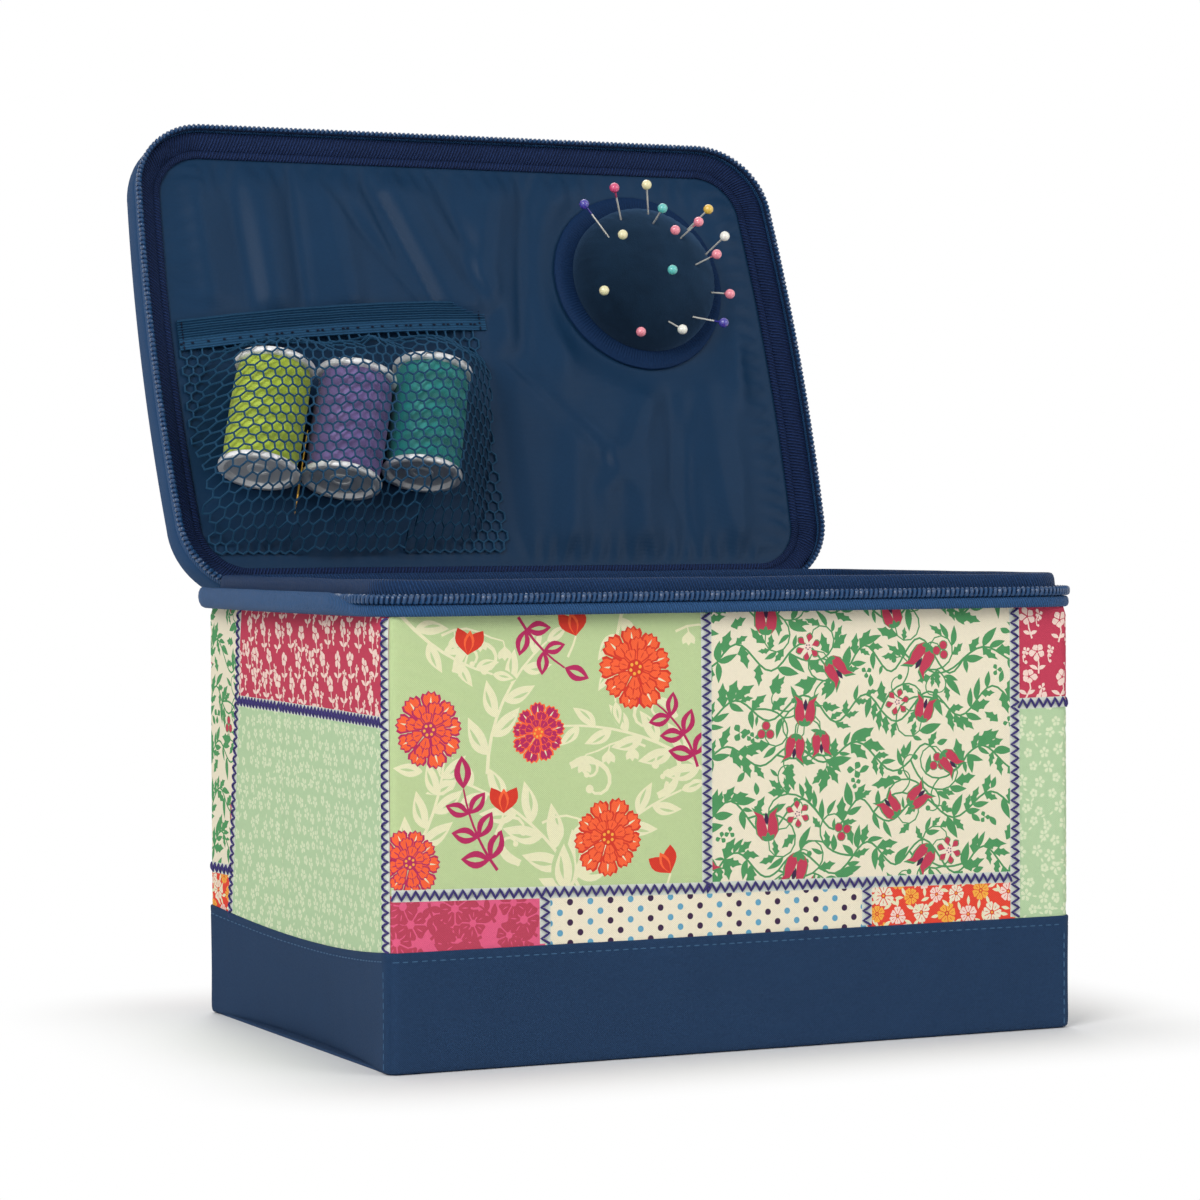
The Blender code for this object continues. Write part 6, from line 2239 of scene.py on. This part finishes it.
def build_pincushion():
    base_top = LID_LINING_BOTTOM - FIT
    down = Matrix.Translation((CUSHION_X, -CUSHION_UP, base_top)) @ Matrix.Rotation(math.pi, 4, "X")
    steps = 720
    teeth = 180
    radii = (0.4, 12, 24, 28.6, 29.4, 30.6, 32.2, 34.0, 35.6, 36.8, 37.3, 37.6, 37.9, 38.0, 37.6)
    heights = (1.5, 1.5, 1.5, 1.5, 1.7, 1.95, 2.05, 2.05, 1.95, 1.7, 1.35, 1.3, 1.0, 0.5, 0.05)
    rows = []
    for k, (radius, height) in enumerate(zip(radii, heights)):
        row = []
        for angle in spread(steps):
            ridge = 0.16 * math.sin(angle * teeth) * smoothstep(28.8, 30.5, radius)
            ridge *= 1 - smoothstep(36.4, 37.2, radius)
            soft = 0.18 * ripple(math.cos(angle) * 2.2, math.sin(angle) * 2.2, 1.5) * smoothstep(28, 31, radius)
            uneven = 0.16 * ripple(math.cos(angle) * 8, math.sin(angle) * 8, 5.5) if radius > 36.5 else 0.0
            uneven -= 2.2 * max(math.cos(angle + 0.3), 0) ** 2 * smoothstep(31, 38, radius)
            size = (radius + uneven) * MM
            high = (height + ridge + soft * (height > 1)) * MM
            row.append(down @ Vector((*polar(0, 0, size, angle), high)))
        rows.append(row)
    around = [math.tau * 34 * j / steps for j in range(steps + 1)]
    base = Piece(
        (capped(rows, around, list(radii) + [radii[-1]]), EMBROIDERY)
    ).done("pincushion_ring", "lid", "navy_cloth", ["pincushion_base"])

    seat = down @ Matrix.Translation((0, 0, CUSHION_BASE + FIT))
    count = 40
    around_steps = 120
    pins = [(x * CUSHION_RADIUS, y * CUSHION_RADIUS) for x, y, _, _, _ in PINS]
    rows = []
    shares = [math.sin(math.pi / 2 * k / count) ** (2 / CUSHION_FULLNESS) for k in range(count + 1)]
    shares[0] = 0.004
    for share in shares:
        row = []
        for angle in spread(around_steps):
            x = share * CUSHION_RADIUS * math.cos(angle)
            y = share * CUSHION_RADIUS * math.sin(angle)
            high = crown(share) + (
                0.0006 * ripple(x * 60, y * 60, 2.0) + 0.0003 * ripple(x * 170, y * 170, 6.0)
            ) * (1 - share**6)
            near = min(math.hypot(x - px, y - py) for px, py in pins)
            high -= 0.0007 * math.exp(-((near / 0.0016) ** 2)) * (1 - share**4)
            pleat = max(math.sin(angle * 46 + 3 * ripple(math.cos(angle) * 2, math.sin(angle) * 2)), 0)
            high -= 0.0005 * pleat * smoothstep(0.72, 0.9, share) * (1 - smoothstep(0.96, 1, share))
            row.append(seat @ Vector((x, y, max(high, 0.0003))))
        rows.append(row)
    rim = CUSHION_RADIUS * 0.985
    rows.append([seat @ Vector((*polar(0, 0, rim, angle), 0.0)) for angle in spread(around_steps)])
    around = [math.tau * CUSHION_RADIUS / MM * j / around_steps for j in range(around_steps + 1)]
    ups = [share * 45 for share in shares] + [46.0]
    dome = Piece((capped(rows, around, ups), VELVET)).done("pincushion_velvet", "lid", "velvet", ["pincushion"])

    for number, (x, y, lean_x, lean_y, colour) in enumerate(PINS, 1):
        aim = Vector((lean_x, lean_y, math.sqrt(1 - lean_x**2 - lean_y**2)))
        entry = Vector((CUSHION_RADIUS * x, CUSHION_RADIUS * y, crown(math.hypot(x, y))))
        # The cushion's frame is upside down in the lid's, so its second axis is mirrored
        place = Matrix.Translation((CUSHION_X, -CUSHION_UP, base_top - CUSHION_BASE - FIT))
        point = Vector((entry.x, -entry.y, -entry.z))
        way = Vector((aim.x, -aim.y, -aim.z))
        frame_matrix = place @ Matrix.Translation(point) @ way.to_track_quat("Z", "Y").to_matrix().to_4x4()
        piece = Piece()
        shaft = [
            (0.00002, -PIN_IN), (PIN_RADIUS, -PIN_IN + 0.003), (PIN_RADIUS, PIN_OUT - 0.0012),
            (PIN_RADIUS * 0.9, PIN_OUT - 0.001)
        ]
        piece.add(turned_shell(shaft, 12, frame_matrix), STEEL)
        collar = PIN_RADIUS + 0.00006
        sleeve = [
            (PIN_RADIUS, PIN_OUT - 0.0065), (collar, PIN_OUT - 0.0058), (collar, PIN_OUT - 0.0012),
            (PIN_RADIUS, PIN_OUT - 0.001)
        ]
        if colour in ("blue", "magenta", "pink"):
            piece.add(turned_shell(sleeve, 12, frame_matrix), PEARLS[colour])
        head = []
        for k in range(17):
            angle = math.pi * (0.02 + 0.96 * k / 16)
            head.append((PIN_HEAD_RADIUS * math.sin(angle), PIN_OUT + PIN_HEAD_RADIUS * math.cos(angle)))
        piece.add(turned_shell(head, 24, frame_matrix), PEARLS[colour])
        piece.done(f"ball_pin_{number:02d}", "lid", "pin_" + colour, [f"pin_{number:02d}"])


# ---------------------------------------------------------------- solids that stay, floor, light and camera


def dress(node, material):
    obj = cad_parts[node]
    for slot in obj.material_slots:
        slot.material = material


def computed(tree, kind, operation, *sources):
    """A math node of one operation, fed by its sources."""
    node = tree.nodes.new(kind)
    node.operation = operation
    for source, target in zip(sources, node.inputs):
        tree.links.new(source, target)
    return node


def seen_rays(tree):
    """1 for the rays that show the background: the camera's own, and those through glass or off gloss."""
    rays = tree.nodes.new("ShaderNodeLightPath").outputs
    total = rays["Is Camera Ray"]
    for name in ("Is Glossy Ray", "Is Transmission Ray"):
        total = computed(tree, "ShaderNodeMath", "MAXIMUM", total, rays[name]).outputs[0]
    return total


def mixed(tree, share, lit, bright, output):
    """Joins what is lit and what is plainly bright by a share, into the tree's output."""
    mix = tree.nodes.new("ShaderNodeMixShader")
    for source, target in zip((share, lit.outputs[0], bright.outputs[0]), mix.inputs):
        tree.links.new(source, target)
    tree.links.new(mix.outputs[0], tree.nodes[output].inputs["Surface"])


FLOOR_REACH = 6.0
# How far from the box's foot its shadow shows
SHADOW_REACH = 0.085
WORLD_LIGHT = 0.46
# Each lamp's name, place, size and power, then what they all face
LAMPS = (
    ("key", (-1.6, -1.2, 1.2), 1.0, 30.0),
    ("fill", (1.1, -1.5, 0.8), 1.2, 11.0),
    ("back", (0.2, 1.3, 1.4), 1.0, 9.0),
)
LAMP_AIM = (0, 0, 0.14)


def build_stage():
    mesh = bpy.data.meshes.new("studio_floor")
    size = FLOOR_REACH
    mesh.from_pydata(
        [(-size, -size, 0), (size, -size, 0), (size, size, 0), (-size, size, 0)], [], [(0, 1, 2, 3)]
    )
    material = bpy.data.materials.new("studio_floor")
    material.use_nodes = True
    tree = material.node_tree
    shader = tree.nodes["Principled BSDF"]
    shader.inputs["Base Color"].default_value = (0.86, 0.86, 0.86, 1)
    shader.inputs["Roughness"].default_value = 0.7
    glow = tree.nodes.new("ShaderNodeEmission")
    glow.inputs["Strength"].default_value = 1.0
    away = tree.nodes.new("ShaderNodeTexCoord").outputs["Object"]
    for operation, value in (
        ("ABSOLUTE", None), ("SUBTRACT", (LENGTH / 2, WIDTH / 2, 0)), ("MAXIMUM", (0, 0, 0)), ("LENGTH", None)
    ):
        step = computed(tree, "ShaderNodeVectorMath", operation, away)
        if value:
            step.inputs[1].default_value = value
        away = step.outputs["Value" if operation == "LENGTH" else "Vector"]
    far = tree.nodes.new("ShaderNodeMapRange")
    far.interpolation_type = "SMOOTHSTEP"
    far.inputs["From Max"].default_value = SHADOW_REACH
    tree.links.new(away, far.inputs["Value"])
    seen = computed(tree, "ShaderNodeMath", "MULTIPLY", seen_rays(tree), far.outputs["Result"])
    mixed(tree, seen.outputs[0], shader, glow, "Material Output")
    mesh.materials.append(material)
    floor = bpy.data.objects.new("studio_floor", mesh)
    bpy.context.scene.collection.objects.link(floor)

    world = bpy.data.worlds.new("studio")
    bpy.context.scene.world = world
    world.use_nodes = True
    nodes = world.node_tree.nodes
    dim = nodes["Background"]
    dim.inputs["Color"].default_value = (1, 1, 1, 1)
    dim.inputs["Strength"].default_value = WORLD_LIGHT
    bright = nodes.new("ShaderNodeBackground")
    bright.inputs["Color"].default_value = (1, 1, 1, 1)
    bright.inputs["Strength"].default_value = 1.0
    mixed(world.node_tree, seen_rays(world.node_tree), dim, bright, "World Output")


def build_lights():
    for name, place, size, power in LAMPS:
        light = bpy.data.lights.new(name, "AREA")
        light.shape = "SQUARE"
        light.size = size
        light.energy = power
        lamp = bpy.data.objects.new(name, light)
        lamp.location = place
        lamp.rotation_euler = (Vector(place) - Vector(LAMP_AIM)).to_track_quat("Z", "Y").to_euler()
        bpy.context.scene.collection.objects.link(lamp)


# The photograph's camera: turns in degrees, aim and distance in metres, focal length in pixels of its width
CAMERA_TURNS = (-24.855, 1.14, -0.268)
CAMERA_AIM_RIGHT = -0.010891
CAMERA_AIM_UP = 0.151978
CAMERA_DISTANCE = 1.321709
CAMERA_FOCAL = 3658.056
PHOTO_WIDTH = 1200
SENSOR = 36


def build_camera():
    yaw, pitch, roll = (math.radians(turn) for turn in CAMERA_TURNS)
    right = Vector((math.cos(yaw), math.sin(yaw), 0))
    forward = Vector((-math.sin(yaw) * math.cos(pitch), math.cos(yaw) * math.cos(pitch), -math.sin(pitch)))
    up = right.cross(forward)
    target = right * CAMERA_AIM_RIGHT + Vector((0, 0, CAMERA_AIM_UP))
    place = target - forward * CAMERA_DISTANCE
    across = right * math.cos(roll) + up * math.sin(roll)
    upright = up * math.cos(roll) - right * math.sin(roll)
    data = bpy.data.cameras.new("camera")
    data.sensor_width = SENSOR
    data.lens = CAMERA_FOCAL / PHOTO_WIDTH * SENSOR
    data.clip_start = 0.05
    data.clip_end = 50
    camera = bpy.data.objects.new("camera", data)
    camera.matrix_world = Matrix((
        (across.x, upright.x, -forward.x, place.x),
        (across.y, upright.y, -forward.y, place.y),
        (across.z, upright.z, -forward.z, place.z),
        (0, 0, 0, 1),
    ))
    bpy.context.scene.collection.objects.link(camera)
    bpy.context.scene.camera = camera


bpy.context.scene.view_settings.view_transform = "Standard"
build_camera()
build_stage()
build_lights()
for number, side_name in enumerate(("front", "left", "right", "back"), FIRST_SEED):
    build_wall(side_name, number)
build_band()
build_base()
build_body_lining()
build_rim()
build_hinge()
build_lid_top()
build_lid_sides()
build_facing()
build_lid_lining()
build_net()
build_spools()
build_pincushion()
for node in ("base_board", "front_board", "back_board", "left_end_board", "right_end_board", "lid_board"):
    dress(node, CARD)
for node in ("zip_slider", "zip_pull"):
    dress(node, ENAMEL)
dress("needle", BRASS)
